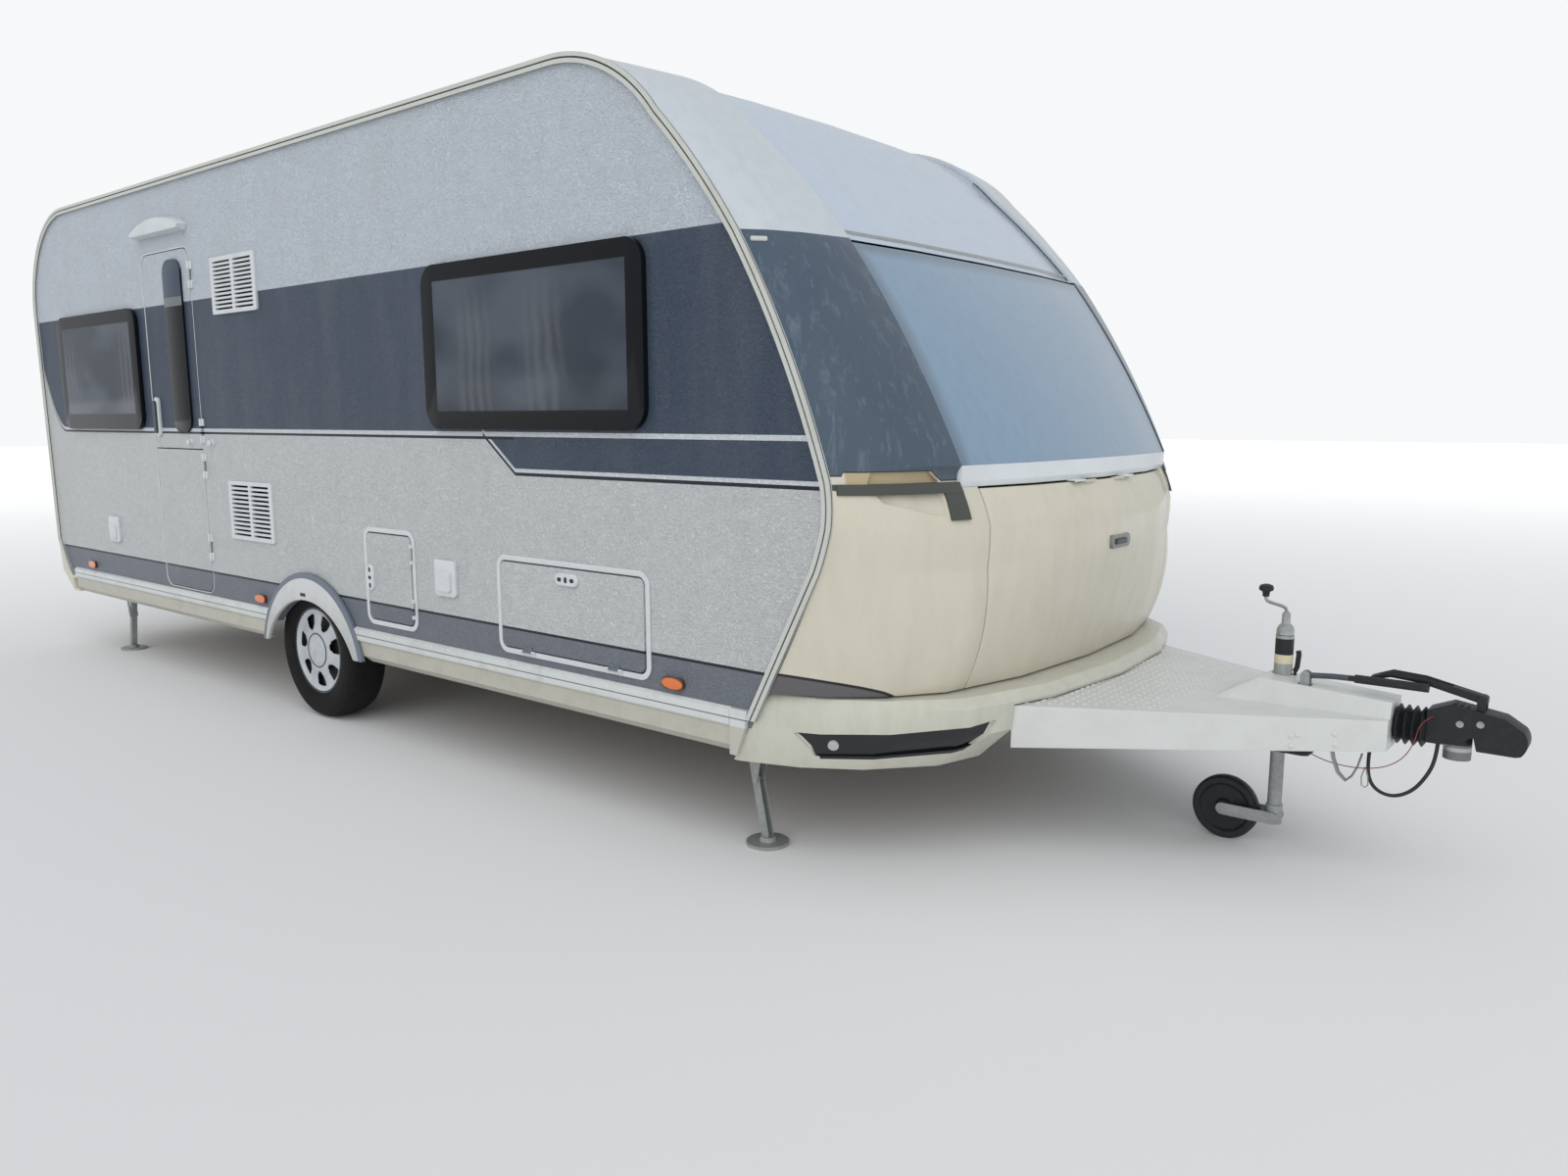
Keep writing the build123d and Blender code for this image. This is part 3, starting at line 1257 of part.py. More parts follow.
# Handbrake: a bent lever between its ears
with BuildPart() as handbrake_lever:
    with BuildSketch(Plane.XZ.offset(-brake_pivot[1] - brake_gap + seam)):
        with Locations((brake_pivot[0], brake_pivot[2])):
            Circle(13)
    extrude(amount=2 * (brake_gap - seam))
    with BuildLine() as lever_line:
        Polyline(
            (brake_pivot[0] + 8, brake_pivot[1], brake_pivot[2]),
            (brake_pivot[0] + 80, brake_pivot[1], brake_pivot[2] + 6),
            (brake_pivot[0] + 150, brake_pivot[1], brake_pivot[2] + 8),
        )
    with BuildSketch(Plane(origin=lever_line.line @ 0, z_dir=lever_line.line % 0)):
        Circle(brake_bar)
    sweep(transition=Transition.ROUND)
    with BuildSketch(Plane.YZ.offset(brake_pivot[0] + 140)):
        with Locations((brake_pivot[1], brake_pivot[2] + 8)):
            Circle(13)
    extrude(amount=200)
save(handbrake_lever.part, "handbrake_lever")

# Jockey wheel: clamped post, sliding inner tube, swivelling fork, wheel and crank
post_low = 330.0
post_top = 716.0
inner_radius = 22.0
fork_top = 150.0
fork_trail = 155.0
jockey_radius = 107.5
jockey_width = 50.0
fork_bar = (31.5, 36.0)  # inner and outer face of the side bars, from the wheel's middle
clamp_length = 90.0
clamp_outer_y = member_inner(jockey_x + 10 + clamp_length / 2) - seam
with BuildPart() as jockey_post:
    with BuildSketch(Plane.XY.offset(post_low)):
        with Locations((jockey_x, jockey_y)):
            Circle(post_radius)
            Circle(inner_radius + seam, mode=Mode.SUBTRACT)
    extrude(amount=post_top - post_low)
    with BuildSketch(Plane.XY.offset(360)):
        with Locations((jockey_x + 10, (jockey_y + 2 + clamp_outer_y) / 2)):
            Rectangle(clamp_length, clamp_outer_y - jockey_y - 2)
        with Locations((jockey_x, jockey_y)):
            Circle(post_radius - 1, mode=Mode.SUBTRACT)
    extrude(amount=96)
save(jockey_post.part, "jockey_post")

with BuildPart() as jockey_tube:
    with BuildSketch(Plane.XY.offset(fork_top)):
        with Locations((jockey_x, jockey_y)):
            Circle(inner_radius)
    extrude(amount=post_top - 170 - fork_top)
save(jockey_tube.part, "jockey_tube")

with BuildPart() as jockey_fork:
    with BuildSketch(Plane.XY.offset(86)):
        with Locations((jockey_x, jockey_y)):
            Circle(26)
    extrude(amount=fork_top - seam - 86)
    for side in (right, left):
        with BuildSketch(side_plane(jockey_y + side * fork_bar[0])):
            with Locations((jockey_x - fork_trail / 2, jockey_radius)):
                SlotOverall(fork_trail + 44, 40)
        extrude(amount=-side * (fork_bar[1] - fork_bar[0]))
    with BuildSketch(Plane.XZ.offset(-jockey_y - fork_bar[1])):
        with Locations((jockey_x, jockey_radius)):
            Rectangle(30, 34)
    extrude(amount=2 * fork_bar[1])
    with BuildSketch(Plane.XZ.offset(-jockey_y - fork_bar[1] - 3)):
        with Locations((jockey_x - fork_trail, jockey_radius)):
            Circle(9)
    extrude(amount=2 * fork_bar[1] + 6)
save(jockey_fork.part, "jockey_fork")

with BuildPart() as jockey_wheel:
    with BuildSketch(Plane.XY):
        with BuildLine():
            wide = jockey_width / 2
            Polyline(
                (9.5, wide), (24, wide), (30, wide - 14), (76, wide - 14), (84, wide - 4), (jockey_radius - 6, wide - 3),
                (jockey_radius, wide - 12), (jockey_radius, 12 - wide), (jockey_radius - 6, 3 - wide), (84, 4 - wide),
                (76, 14 - wide), (30, 14 - wide), (24, -wide), (9.5, -wide), (9.5, wide),
            )
        make_face()
    revolve(axis=Axis.Y)
save(Pos(jockey_x - fork_trail, jockey_y, jockey_radius) * jockey_wheel.part, "jockey_wheel")

# Crank: black collar, bent rod and upright grip
crank_throw = (-46.0, -72.0)
crank_top = 886.0
grip_radius = 11.0
with BuildPart() as jockey_crank:
    with BuildSketch(Plane.XY.offset(post_top + seam)):
        with Locations((jockey_x, jockey_y)):
            Circle(post_radius - 1)
    extrude(amount=46)
    with BuildSketch(Plane.XY.offset(post_top + 40)):
        with Locations((jockey_x, jockey_y)):
            Circle(13)
    extrude(amount=30)
    with BuildLine() as crank_line:
        Polyline(
            (jockey_x, jockey_y, post_top + 60),
            (jockey_x, jockey_y, post_top + 86),
            (jockey_x + crank_throw[0], jockey_y + crank_throw[1], post_top + 118),
            (jockey_x + crank_throw[0], jockey_y + crank_throw[1], post_top + 150),
        )
    with BuildSketch(Plane(origin=crank_line.line @ 0, z_dir=crank_line.line % 0)):
        Circle(5.5)
    sweep(transition=Transition.ROUND)
    with BuildSketch(Plane.XY.offset(post_top + 140)):
        with Locations((jockey_x + crank_throw[0], jockey_y + crank_throw[1])):
            Circle(grip_radius)
    extrude(amount=crank_top - post_top - 140)
save(jockey_crank.part, "jockey_crank")

# Corner steadies: a leg and a strut of half its length, so that the foot rises straight under
# the strut's fixed pivot while the leg's head runs along the screw
steady_y = half - 165
front_steady_x = axle_x + 2700
rear_steady_x = axle_x - 2440
screw_z = 402.0
foot_pivot_z = 34.0
leg_angle = 78.0  # of the lowered leg from the level
leg_length = (screw_z - foot_pivot_z) / math.sin(math.radians(leg_angle))
leg_shift = leg_length * math.cos(math.radians(leg_angle))
fold_length = leg_length * math.cos(math.radians(8.0))
leg_half = 15.0
leg_plate = 4.0
strut_half = (17.0, 21.0)
bracket_half = (24.0, 28.0)
pin_radius = 5.0
pad_radius = 72.0
# name, x of the foot, direction in which the foot points, side
steady_table = (
    ("front_right", front_steady_x, 1, right),
    ("front_left", front_steady_x, 1, left),
    ("rear_right", rear_steady_x, -1, right),
    ("rear_left", rear_steady_x, -1, left),
)


def bar(start, end, width):
    """Draw a flat link with round ends between two pivots in the open sketch."""
    middle = ((start[0] + end[0]) / 2, (start[1] + end[1]) / 2)
    length = math.dist(start, end)
    with Locations(Location((*middle, 0), (0, 0, math.degrees(math.atan2(end[1] - start[1], end[0] - start[0]))))):
        SlotCenterToCenter(length, width)


with BuildPart() as steady_brackets:
    for name, foot_x, ahead, side in steady_table:
        y = side * steady_y
        far_x = foot_x - ahead * (fold_length + 30)
        near_x = foot_x + ahead * 34
        with BuildSketch(Plane.YZ.offset(min(far_x, near_x))):
            with Locations((y, (wall_bottom - seam + screw_z - 16) / 2)):
                Rectangle(2 * bracket_half[1], wall_bottom - seam - screw_z + 16)
            with Locations((y, (wall_bottom - seam - 4 + screw_z - 20) / 2)):
                Rectangle(2 * bracket_half[0], wall_bottom - seam - 4 - screw_z + 20, mode=Mode.SUBTRACT)
        extrude(amount=abs(near_x - far_x))
        with BuildSketch(Plane.YZ.offset(min(far_x, near_x))):
            with Locations((y, screw_z)):
                Circle(7)
            with Locations((y, screw_z + 20)):
                Rectangle(2 * bracket_half[0], 46)
        extrude(amount=6)
        with BuildSketch(Plane.YZ.offset(max(far_x, near_x) - 6)):
            with Locations((y, screw_z + 20)):
                Rectangle(2 * bracket_half[0], 46)
        extrude(amount=6)
        with BuildSketch(Plane.YZ.offset(min(far_x, near_x))):
            with Locations((y, screw_z)):
                Circle(7)
        extrude(amount=abs(near_x - far_x))
        for hand in (right, left):
            with BuildSketch(side_plane(y + hand * bracket_half[0])):
                with Locations((foot_x, screw_z)):
                    Circle(pin_radius)
            extrude(amount=hand * (bracket_half[0] - strut_half[0] + 1))
save(steady_brackets.part, "steady_brackets")

for name, foot_x, ahead, side in steady_table:
    y = side * steady_y
    head = (foot_x - ahead * leg_shift, screw_z)
    knee = (foot_x - ahead * leg_shift / 2, (screw_z + foot_pivot_z) / 2)
    foot = (foot_x, foot_pivot_z)
    with BuildPart() as strut:
        for hand in (right, left):
            with BuildSketch(side_plane(y + hand * strut_half[0])):
                bar((foot_x, screw_z), knee, 22)
                with Locations((foot_x, screw_z)):
                    Circle(pin_radius + 0.3, mode=Mode.SUBTRACT)
            extrude(amount=-hand * (strut_half[1] - strut_half[0]))
        with BuildSketch(side_plane(y - strut_half[0])):
            with Locations(knee):
                Circle(pin_radius)
        extrude(amount=-2 * strut_half[0])
    save(strut.part, f"steady_strut_{name}")
    with BuildPart() as leg:
        for hand in (right, left):
            with BuildSketch(side_plane(y + hand * leg_half)):
                bar(head, foot, 30)
                with Locations(knee):
                    Circle(pin_radius + 0.3, mode=Mode.SUBTRACT)
            extrude(amount=hand * leg_plate)
        lean = math.atan2(foot[1] - head[1], foot[0] - head[0])
        back = (lean - ahead * math.pi / 2)
        start = (head[0] + 50 * math.cos(lean) + 12 * math.cos(back), head[1] + 50 * math.sin(lean) + 12 * math.sin(back))
        stop = (foot[0] + 12 * math.cos(back), foot[1] + 12 * math.sin(back))
        with BuildSketch(side_plane(y - leg_half)):
            bar(start, stop, 5)
        extrude(amount=-2 * leg_half)
        with BuildSketch(Plane.XY):
            with Locations((foot_x, y)):
                Circle(pad_radius)
        extrude(amount=12)
        with BuildSketch(Plane.XY.offset(12)):
            with Locations((foot_x, y)):
                Circle(30)
        extrude(amount=14, taper=20)
    save(leg.part, f"steady_leg_{name}")

# Cables under the drawbar: the towing lead's loop from the flange up to the head, and the thin
# breakaway cable from the head over the bellows back to the jockey post. x from the axle, y, z
lead_thick = 11.0
lead_points = (
    (4308.0, -36.0, coupling_z - 73.5), (4303.0, -42.0, 352.0), (4322.0, -47.0, 292.0), (4376.0, -49.0, 272.0),
    (4430.0, -49.0, 300.0), (4466.0, -46.0, 355.0), (4484.0, -38.0, 408.0), (4485.0, -30.0, coupling_z - 37.5),
)
thin_thick = 3.0
thin_points = (
    (4470.0, -head_half - 2, 540.0), (4440.0, -66.0, 520.0), (4433.0, -71.0, 468.0), (4412.0, -70.0, 414.0),
    (4372.0, -64.0, 374.0), (4316.0, -60.0, 352.0), (4258.0, -54.0, 345.0), (4200.0, -44.0, 346.0),
    (4150.0, -27.0, 353.0), (4100.0, 2.0, 366.0), (jockey_x - axle_x + post_radius + 1, jockey_y, 374.0),
)
with BuildPart() as drawbar_cables:
    for thick, points in ((lead_thick, lead_points), (thin_thick, thin_points)):
        route = [Vector(axle_x + x, y, z) for x, y, z in points]
        radii = []
        for before, corner, after in zip(route, route[1:], route[2:]):
            turn = math.radians((corner - before).get_angle(after - corner))
            shorter = min((corner - before).length, (after - corner).length)
            radii.append(0.45 * shorter / math.tan(turn / 2))
        print("cable", thick, "runs", [round((b - a).length) for a, b in zip(route, route[1:])], "radii", [round(r) for r in radii])
        with BuildLine() as path:
            FilletPolyline(*route, radius=radii)
        with BuildSketch(Plane(origin=path.line @ 0, z_dir=path.line % 0)):
            Circle(thick / 2)
        sweep(path=path.line)
        length = sum(edge.length for edge in path.line.edges())
        print("length", round(length), "section times length", round(math.pi * thick ** 2 / 4 * length))
print("volumes", [round(solid.volume) for solid in drawbar_cables.part.solids()])
save(drawbar_cables.part, "drawbar_cables")
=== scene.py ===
import math

import bmesh
import bpy
from mathutils import Matrix, Vector


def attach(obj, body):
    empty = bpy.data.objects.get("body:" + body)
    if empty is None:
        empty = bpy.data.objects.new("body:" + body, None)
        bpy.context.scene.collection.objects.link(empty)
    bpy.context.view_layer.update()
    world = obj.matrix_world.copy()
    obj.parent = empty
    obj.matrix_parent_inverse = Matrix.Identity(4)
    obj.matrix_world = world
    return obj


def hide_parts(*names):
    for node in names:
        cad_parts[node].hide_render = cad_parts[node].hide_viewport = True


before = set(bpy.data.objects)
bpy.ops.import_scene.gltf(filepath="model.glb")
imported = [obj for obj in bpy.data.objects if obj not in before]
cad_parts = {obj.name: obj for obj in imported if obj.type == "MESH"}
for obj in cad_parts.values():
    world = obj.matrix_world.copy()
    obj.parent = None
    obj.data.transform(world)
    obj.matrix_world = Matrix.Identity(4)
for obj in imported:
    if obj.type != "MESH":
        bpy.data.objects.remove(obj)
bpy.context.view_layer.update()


# Floor and locker boards: plywood panels screwed to the chassis, seen from below and through the
# open gas locker. Their grain runs lengthwise.
class Shade:
    """A number or colour of a material. Operators add maths nodes, and node() adds any other."""

    def __init__(self, tree, socket):
        self.tree = tree
        self.socket = socket

    def node(self, kind, inputs, settings=(), out=0):
        made = self.tree.nodes.new(kind)
        for name, value in dict(settings).items():
            setattr(made, name, value)
        for name, value in inputs.items():
            if isinstance(value, Shade):
                self.tree.links.new(value.socket, made.inputs[name])
            elif made.inputs[name].type == "RGBA":
                made.inputs[name].default_value = (*value, 1)
            else:
                made.inputs[name].default_value = value
        return Shade(self.tree, made.outputs[out])

    def maths(self, operation, second=0.0):
        return self.node("ShaderNodeMath", {0: self, 1: second}, {"operation": operation})

    def turned_round(self, operation, first):
        return self.node("ShaderNodeMath", {0: first, 1: self}, {"operation": operation})

    def __add__(self, other):
        return self.maths("ADD", other)

    def __sub__(self, other):
        return self.maths("SUBTRACT", other)

    def __rsub__(self, other):
        return self.turned_round("SUBTRACT", other)

    def __mul__(self, other):
        return self.maths("MULTIPLY", other)

    def __truediv__(self, other):
        return self.maths("DIVIDE", other)

    def __rtruediv__(self, other):
        return self.turned_round("DIVIDE", other)

    def __gt__(self, other):
        return self.maths("GREATER_THAN", other)

    def __lt__(self, other):
        return self.maths("LESS_THAN", other)

    def __and__(self, other):
        return self.maths("MINIMUM", other)

    def __or__(self, other):
        return self.maths("MAXIMUM", other)

    def __abs__(self):
        return self.maths("ABSOLUTE")

    __radd__ = __add__
    __rmul__ = __mul__

    def ramp(self, low, high):
        """0 up to low and 1 from high, straight in between."""
        slope = 1 / (high - low)
        settings = {"operation": "MULTIPLY_ADD", "use_clamp": True}
        return self.node("ShaderNodeMath", {0: self, 1: slope, 2: -low * slope}, settings)

    def step(self, edge, soft=0.001):
        """0 below the edge and 1 above it, over a soft width."""
        return self.ramp(edge - soft / 2, edge + soft / 2)

    def between(self, low, high, soft=0.001):
        return self.step(low, soft) * (1 - self.step(high, soft))

    def mix(self, under, over):
        """The colour over where this mask is 1, and the colour under where it is 0."""
        return self.node("ShaderNodeMix", {0: self, 6: under, 7: over}, {"data_type": "RGBA"}, out=2)

    def noise(self, scale, detail=2.0, rough=0.5, distort=0.0):
        settings = {"Scale": scale, "Detail": detail, "Roughness": rough, "Distortion": distort, "Vector": self}
        return self.node("ShaderNodeTexNoise", settings)

    def stretch(self, x, y, z):
        return self.node("ShaderNodeVectorMath", {0: self, 1: (x, y, z)}, {"operation": "MULTIPLY"})


class Finish:
    """A material, with each point's place in the caravan's frame, whole and as x, y and z."""

    coat_rough = 0.08

    def __init__(self, name, rough=0.5, metal=0.0, coat=0.0, specular=0.5):
        self.material = bpy.data.materials.new(name)
        self.material.use_nodes = True
        tree = self.material.node_tree
        self.shader = tree.nodes["Principled BSDF"]
        self.shader.inputs["Roughness"].default_value = rough
        self.shader.inputs["Metallic"].default_value = metal
        self.shader.inputs["Coat Weight"].default_value = coat
        self.shader.inputs["Coat Roughness"].default_value = self.coat_rough
        self.shader.inputs["Specular IOR Level"].default_value = specular
        self.place = Shade(tree, tree.nodes.new("ShaderNodeTexCoord").outputs["Object"])
        split = tree.nodes.new("ShaderNodeSeparateXYZ")
        tree.links.new(self.place.socket, split.inputs[0])
        self.x, self.y, self.z = [Shade(tree, socket) for socket in split.outputs]

    def vary(self, name, value):
        value.tree.links.new(value.socket, self.shader.inputs[name])

    def press(self, height, depth, strength=1.0):
        """Surface relief from a height value between 0 and 1, depth in metres."""
        bump = height.node("ShaderNodeBump", {"Height": height, "Distance": depth, "Strength": strength})
        self.vary("Normal", bump)

    def dress(self, *nodes):
        for name in nodes:
            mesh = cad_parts[name].data
            mesh.materials.clear()
            mesh.materials.append(self.material)


def srgb(red, green, blue):
    """The linear colour of a colour named by its 0 to 255 screen values."""
    shares = [c / 255 for c in (red, green, blue)]
    return tuple(c / 12.92 if c < 0.0404 else ((c + 0.055) / 1.055) ** 2.4 for c in shares)


board = Finish("board", rough=0.6)
grain = board.place.stretch(2, 40, 10).noise(3, 5, 0.6)
board.vary("Base Color", grain.mix(srgb(112, 96, 76), srgb(142, 124, 98)))
board.press(grain, 0.0006, 0.4)
board.dress("floor", "locker_box")


# Chassis, axle, tubes and the steadies' legs: folded and welded steel, galvanised by dipping, so
# its sheen is broken by fine zinc flakes and by dull weathered patches.
def shading_group(limit):
    """A node group that shades a mesh smooth, but leaves edges sharper than the limit hard."""
    group = bpy.data.node_groups.new("smooth_by_angle", "GeometryNodeTree")
    group.interface.new_socket("Geometry", in_out="INPUT", socket_type="NodeSocketGeometry")
    group.interface.new_socket("Geometry", in_out="OUTPUT", socket_type="NodeSocketGeometry")
    enter = group.nodes.new("NodeGroupInput")
    leave = group.nodes.new("NodeGroupOutput")
    faces = group.nodes.new("GeometryNodeSetShadeSmooth")
    faces.domain = "FACE"
    edges = group.nodes.new("GeometryNodeSetShadeSmooth")
    edges.domain = "EDGE"
    edges.inputs["Shade Smooth"].default_value = False
    angle = group.nodes.new("GeometryNodeInputMeshEdgeAngle")
    sharp = group.nodes.new("ShaderNodeMath")
    sharp.operation = "GREATER_THAN"
    sharp.inputs[1].default_value = math.radians(limit)
    group.links.new(enter.outputs[0], faces.inputs["Geometry"])
    group.links.new(faces.outputs[0], edges.inputs["Geometry"])
    group.links.new(angle.outputs[0], sharp.inputs[0])
    group.links.new(sharp.outputs[0], edges.inputs["Selection"])
    group.links.new(edges.outputs[0], leave.inputs[0])
    return group


smooth_group = shading_group(34)


def smooth(made):
    made.modifiers.new("smooth_by_angle", "NODES").node_group = smooth_group


def round_edges(width, *nodes, segments=3, angle=35):
    """Soften the edges of CAD nodes, and shade their curved faces smooth."""
    for name in nodes:
        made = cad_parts[name]
        made.modifiers.new("weld", "WELD").merge_threshold = 0.00002
        if width:
            bevel = made.modifiers.new("soft_edges", "BEVEL")
            bevel.width = width
            bevel.segments = segments
            bevel.limit_method = "ANGLE"
            bevel.angle_limit = math.radians(angle)
            bevel.use_clamp_overlap = True
        smooth(made)


zinc_dark, zinc_light = srgb(142, 146, 147), srgb(178, 181, 180)
zinc = Finish("galvanised", rough=0.45, metal=0.45)
flakes = zinc.place.noise(70, 2, 0.5)
weather = zinc.place.noise(10, 5, 0.65)
colour = flakes.mix(zinc_dark, zinc_light)
zinc.vary("Base Color", ((weather - 0.5) * 1.2).mix(colour, srgb(112, 104, 92)))
zinc.vary("Roughness", 0.38 + weather * 0.25)
zinc.press(weather, 0.0006, 0.35)
zinc.dress("chassis", "axle", "coupling_tube", "jockey_tube", "jockey_fork", "steady_brackets",
           *[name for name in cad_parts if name.startswith("steady_leg")])
round_edges(0.0015, "jockey_fork", angle=40)

# Steady struts with their feet: the same zinc, and under each foot a black rubber pad that keeps
# it from slipping.
pad_high = 0.030
strut_skin = Finish("strut_and_foot", rough=0.45)
rubber_pad = 1 - strut_skin.z.step(pad_high)
colour = strut_skin.place.noise(60).mix(zinc_dark, srgb(174, 177, 176))
strut_skin.vary("Base Color", rubber_pad.mix(colour, (0.012, 0.012, 0.013)))
strut_skin.vary("Metallic", (1 - rubber_pad) * 0.45)
strut_skin.vary("Roughness", 0.42 + rubber_pad * 0.2)
strut_skin.dress(*[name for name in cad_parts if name.startswith("steady_strut")])

# Embossed wall sheet: pre-painted aluminium with a leather-like stucco pattern, light grey with a
# dark blue-grey window band and a mid-grey foot band. The doors and hatches are cut from the
# same sheet, so the bands run through them. The lines are foil on top of the paint.
axle_x = -0.830
sheet_light, sheet_upper = srgb(196, 199, 199), srgb(190, 197, 206)
sheet_dark, sheet_foot = srgb(58, 70, 88), srgb(112, 117, 127)
line_dark, line_white = srgb(22, 27, 40), srgb(205, 210, 214)
streak_shade_grey, emboss_shadow = srgb(150, 152, 148), (0.02, 0.025, 0.035)
band_low, band_high = 1.354, 1.991  # the dark band's edges
curve_start, curve_end, curve_high = -2.71, -3.02, 0.44  # its rear end, from the axle, and height
slope_from, slope_to, step_low = 1.447, 1.634, 1.211  # its step down at the front
line_z = 1.345
foot_high = 0.626
emboss_deep = 0.0018
wall = Finish("wall_sheet", rough=0.34, specular=0.45)
z = wall.z
u = wall.x - axle_x
bow = ((curve_start - u) / (curve_start - curve_end)) | 0.0
rise = z - bow * bow * curve_high
belt = band_low - u.ramp(slope_from, slope_to) * (band_low - step_low)
dark = (rise - belt).step(0.0) * (1 - z.step(band_high))
in_front = u.step(slope_from)
white_line = (rise - line_z).between(0.0, 0.017) | ((z - belt).between(0.004, 0.018) * in_front)
thin_line = (rise - line_z).between(-0.011, 0.0) * (1 - u.step(slope_to))
thin_line = thin_line | ((z - belt).between(-0.008, 0.004) * in_front)
foot_line = z.between(foot_high - 0.002, foot_high + 0.008)
shade_streaks = wall.place.stretch(3, 3, 0.6).noise(2.2, 4.0, 0.6)
leather = (abs(wall.place.stretch(1, 1, 1.5).noise(62, 0.6, 0.4, 2.4) - 0.5) * 8) & 1.0
wide_weave = wall.place.stretch(1, 1, 1.6).noise(17, 1.5, 0.5)
colour = z.step(band_high).mix(sheet_light, sheet_upper)
colour = dark.mix(colour, sheet_dark)
colour = z.between(0.0, foot_high).mix(colour, sheet_foot)
# Painted shade: broad vertical streaks darken the sheet towards grey.
colour = ((shade_streaks - 0.45) * 0.3).mix(colour, streak_shade_grey)
colour = white_line.mix(colour, line_white)
colour = (thin_line | foot_line).mix(colour, line_dark)
colour = ((1 - leather) * 0.12 + (wide_weave - 0.5) * 0.10).mix(colour, emboss_shadow)
wall.vary("Base Color", colour)
wall.vary("Roughness", 0.30 + wall.place.noise(14, 3) * 0.12)
wall.press(leather, emboss_deep, 0.8)
hatches = ("hatch_large_right", "hatch_small_right", "hatch_large_left", "hatch_toilet_left")
wall.dress("wall_right", "wall_left", "door_lower", "door_upper", "rear_panel", *hatches)
round_edges(0.002, "door_lower", "door_upper")
round_edges(0.004, *hatches)

# Roof: one smooth white glass-fibre sheet, bent over the frame and sealed under the edge rails,
# with faint run-off marks across it.
roof_gel = Finish("roof_white", rough=0.32, coat=0.2)
marks = roof_gel.place.stretch(1.2, 12, 1.2).noise(3, 5, 0.6)
roof_gel.vary("Base Color", ((marks - 0.4) * 0.5).mix(srgb(205, 208, 208), srgb(168, 170, 166)))
roof_gel.vary("Roughness", 0.25 + marks * 0.2)
roof_gel.press(roof_gel.place.noise(4, 2), 0.002, 0.3)
roof_gel.dress("roof")
round_edges(0, "roof")

# Brow over the front pane: glossy moulded shell in a cooler white, which carries water down
# towards the pane.
brow_gel = Finish("brow_white", rough=0.28, coat=0.4)
marks = brow_gel.place.stretch(6, 6, 1.5).noise(3, 5, 0.6)
brow_gel.vary("Base Color", ((marks - 0.4) * 0.5).mix(srgb(186, 198, 212), srgb(158, 168, 178)))
brow_gel.vary("Roughness", 0.2 + marks * 0.2)
brow_gel.dress("front_roof")

# Cheeks beside the brow: pale grey moulded plastic corners, a touch cooler than the wings, and
# screwed to the walls under the edge rails.
cheek = Finish("cheek_grey", rough=0.30, coat=0.3)
marks = cheek.place.stretch(8, 8, 0.8).noise(3, 5, 0.65)
cheek.vary("Base Color", ((marks - 0.42) * 0.6).mix(srgb(194, 201, 207), srgb(158, 162, 162)))
cheek.vary("Roughness", 0.24 + marks * 0.18)
cheek.dress("front_cheeks")
round_edges(0.003, "front_cheeks", "front_roof", angle=40)

# Edge rails: cream plastic-coated channel over the joint of wall and roof, with a dark filler
# strip pressed into its outer groove.
groove_in, groove_out = 1.1545, 1.1585
rail = Finish("edge_rail", rough=0.42)
grime = rail.place.noise(9, 5, 0.7)
colour = ((grime - 0.5) * 0.9).mix(srgb(196, 198, 192), srgb(150, 148, 138))
rail.vary("Base Color", abs(rail.y).between(groove_in, groove_out).mix(colour, srgb(60, 62, 60)))
rail.vary("Roughness", 0.36 + grime * 0.2)
rail.press(grime, 0.0008, 0.4)
rail.dress("edge_rails")

# Rear bumper: cream gloss plastic, moulded in one piece, screwed to the floor's rear edge and
# dusty from the road.
cream_colour, cream_shadow = srgb(206, 201, 184), srgb(184, 177, 154)


def cream_gloss(name):
    """The mouldings' finish, with its dust and its dusty colour, to be marked further."""
    made = Finish(name, rough=0.34, coat=0.25)
    dust = made.place.stretch(5, 5, 1.2).noise(3.5, 6, 0.62)
    made.vary("Roughness", 0.27 + dust * 0.22)
    return made, ((dust - 0.42) * 0.8).mix(cream_colour, cream_shadow)


cream, colour = cream_gloss("cream_moulding")
cream.vary("Base Color", colour)
cream.dress("rear_bumper")

# Gas locker lid: the same cream plastic, hinged under the sill. The grey lock plate with its dark
# slot is let into its middle.
plate_half, plate_z = 0.0755, (0.9645, 1.0115)
slot_y, slot_z = (-0.055, 0.030), (0.977, 0.999)
lid_gel, colour = cream_gloss("lid_moulding")
y, z = lid_gel.y, lid_gel.z
colour = (y.between(-plate_half, plate_half) * z.between(*plate_z)).mix(colour, srgb(128, 130, 128))
colour = (y.between(*slot_y) * z.between(*slot_z)).mix(colour, srgb(36, 38, 40))
lid_gel.vary("Base Color", colour)
lid_gel.dress("gas_locker_lid")

# Front wings: cream corners beside the lid. Each carries a dark grey panel at the foot of its
# side, under a curved black line.
wedge_in, wedge_low, wedge_lift, wedge_bend = 0.93, 0.552, 0.20, 0.6
edge_shift, edge_half = 0.003, 0.0045
wing, colour = cream_gloss("wing_moulding")
width = abs(wing.y)
curve_top = wedge_low + ((width - wedge_in) | 0.0).maths("POWER", wedge_bend) * wedge_lift
over_curve = wing.z - curve_top
edge = (abs(over_curve - edge_shift) < edge_half) * (width > wedge_in)
colour = (over_curve < 0.0).mix(colour, srgb(92, 90, 92))
wing.vary("Base Color", edge.mix(colour, srgb(24, 22, 24)))
wing.dress("front_wings")

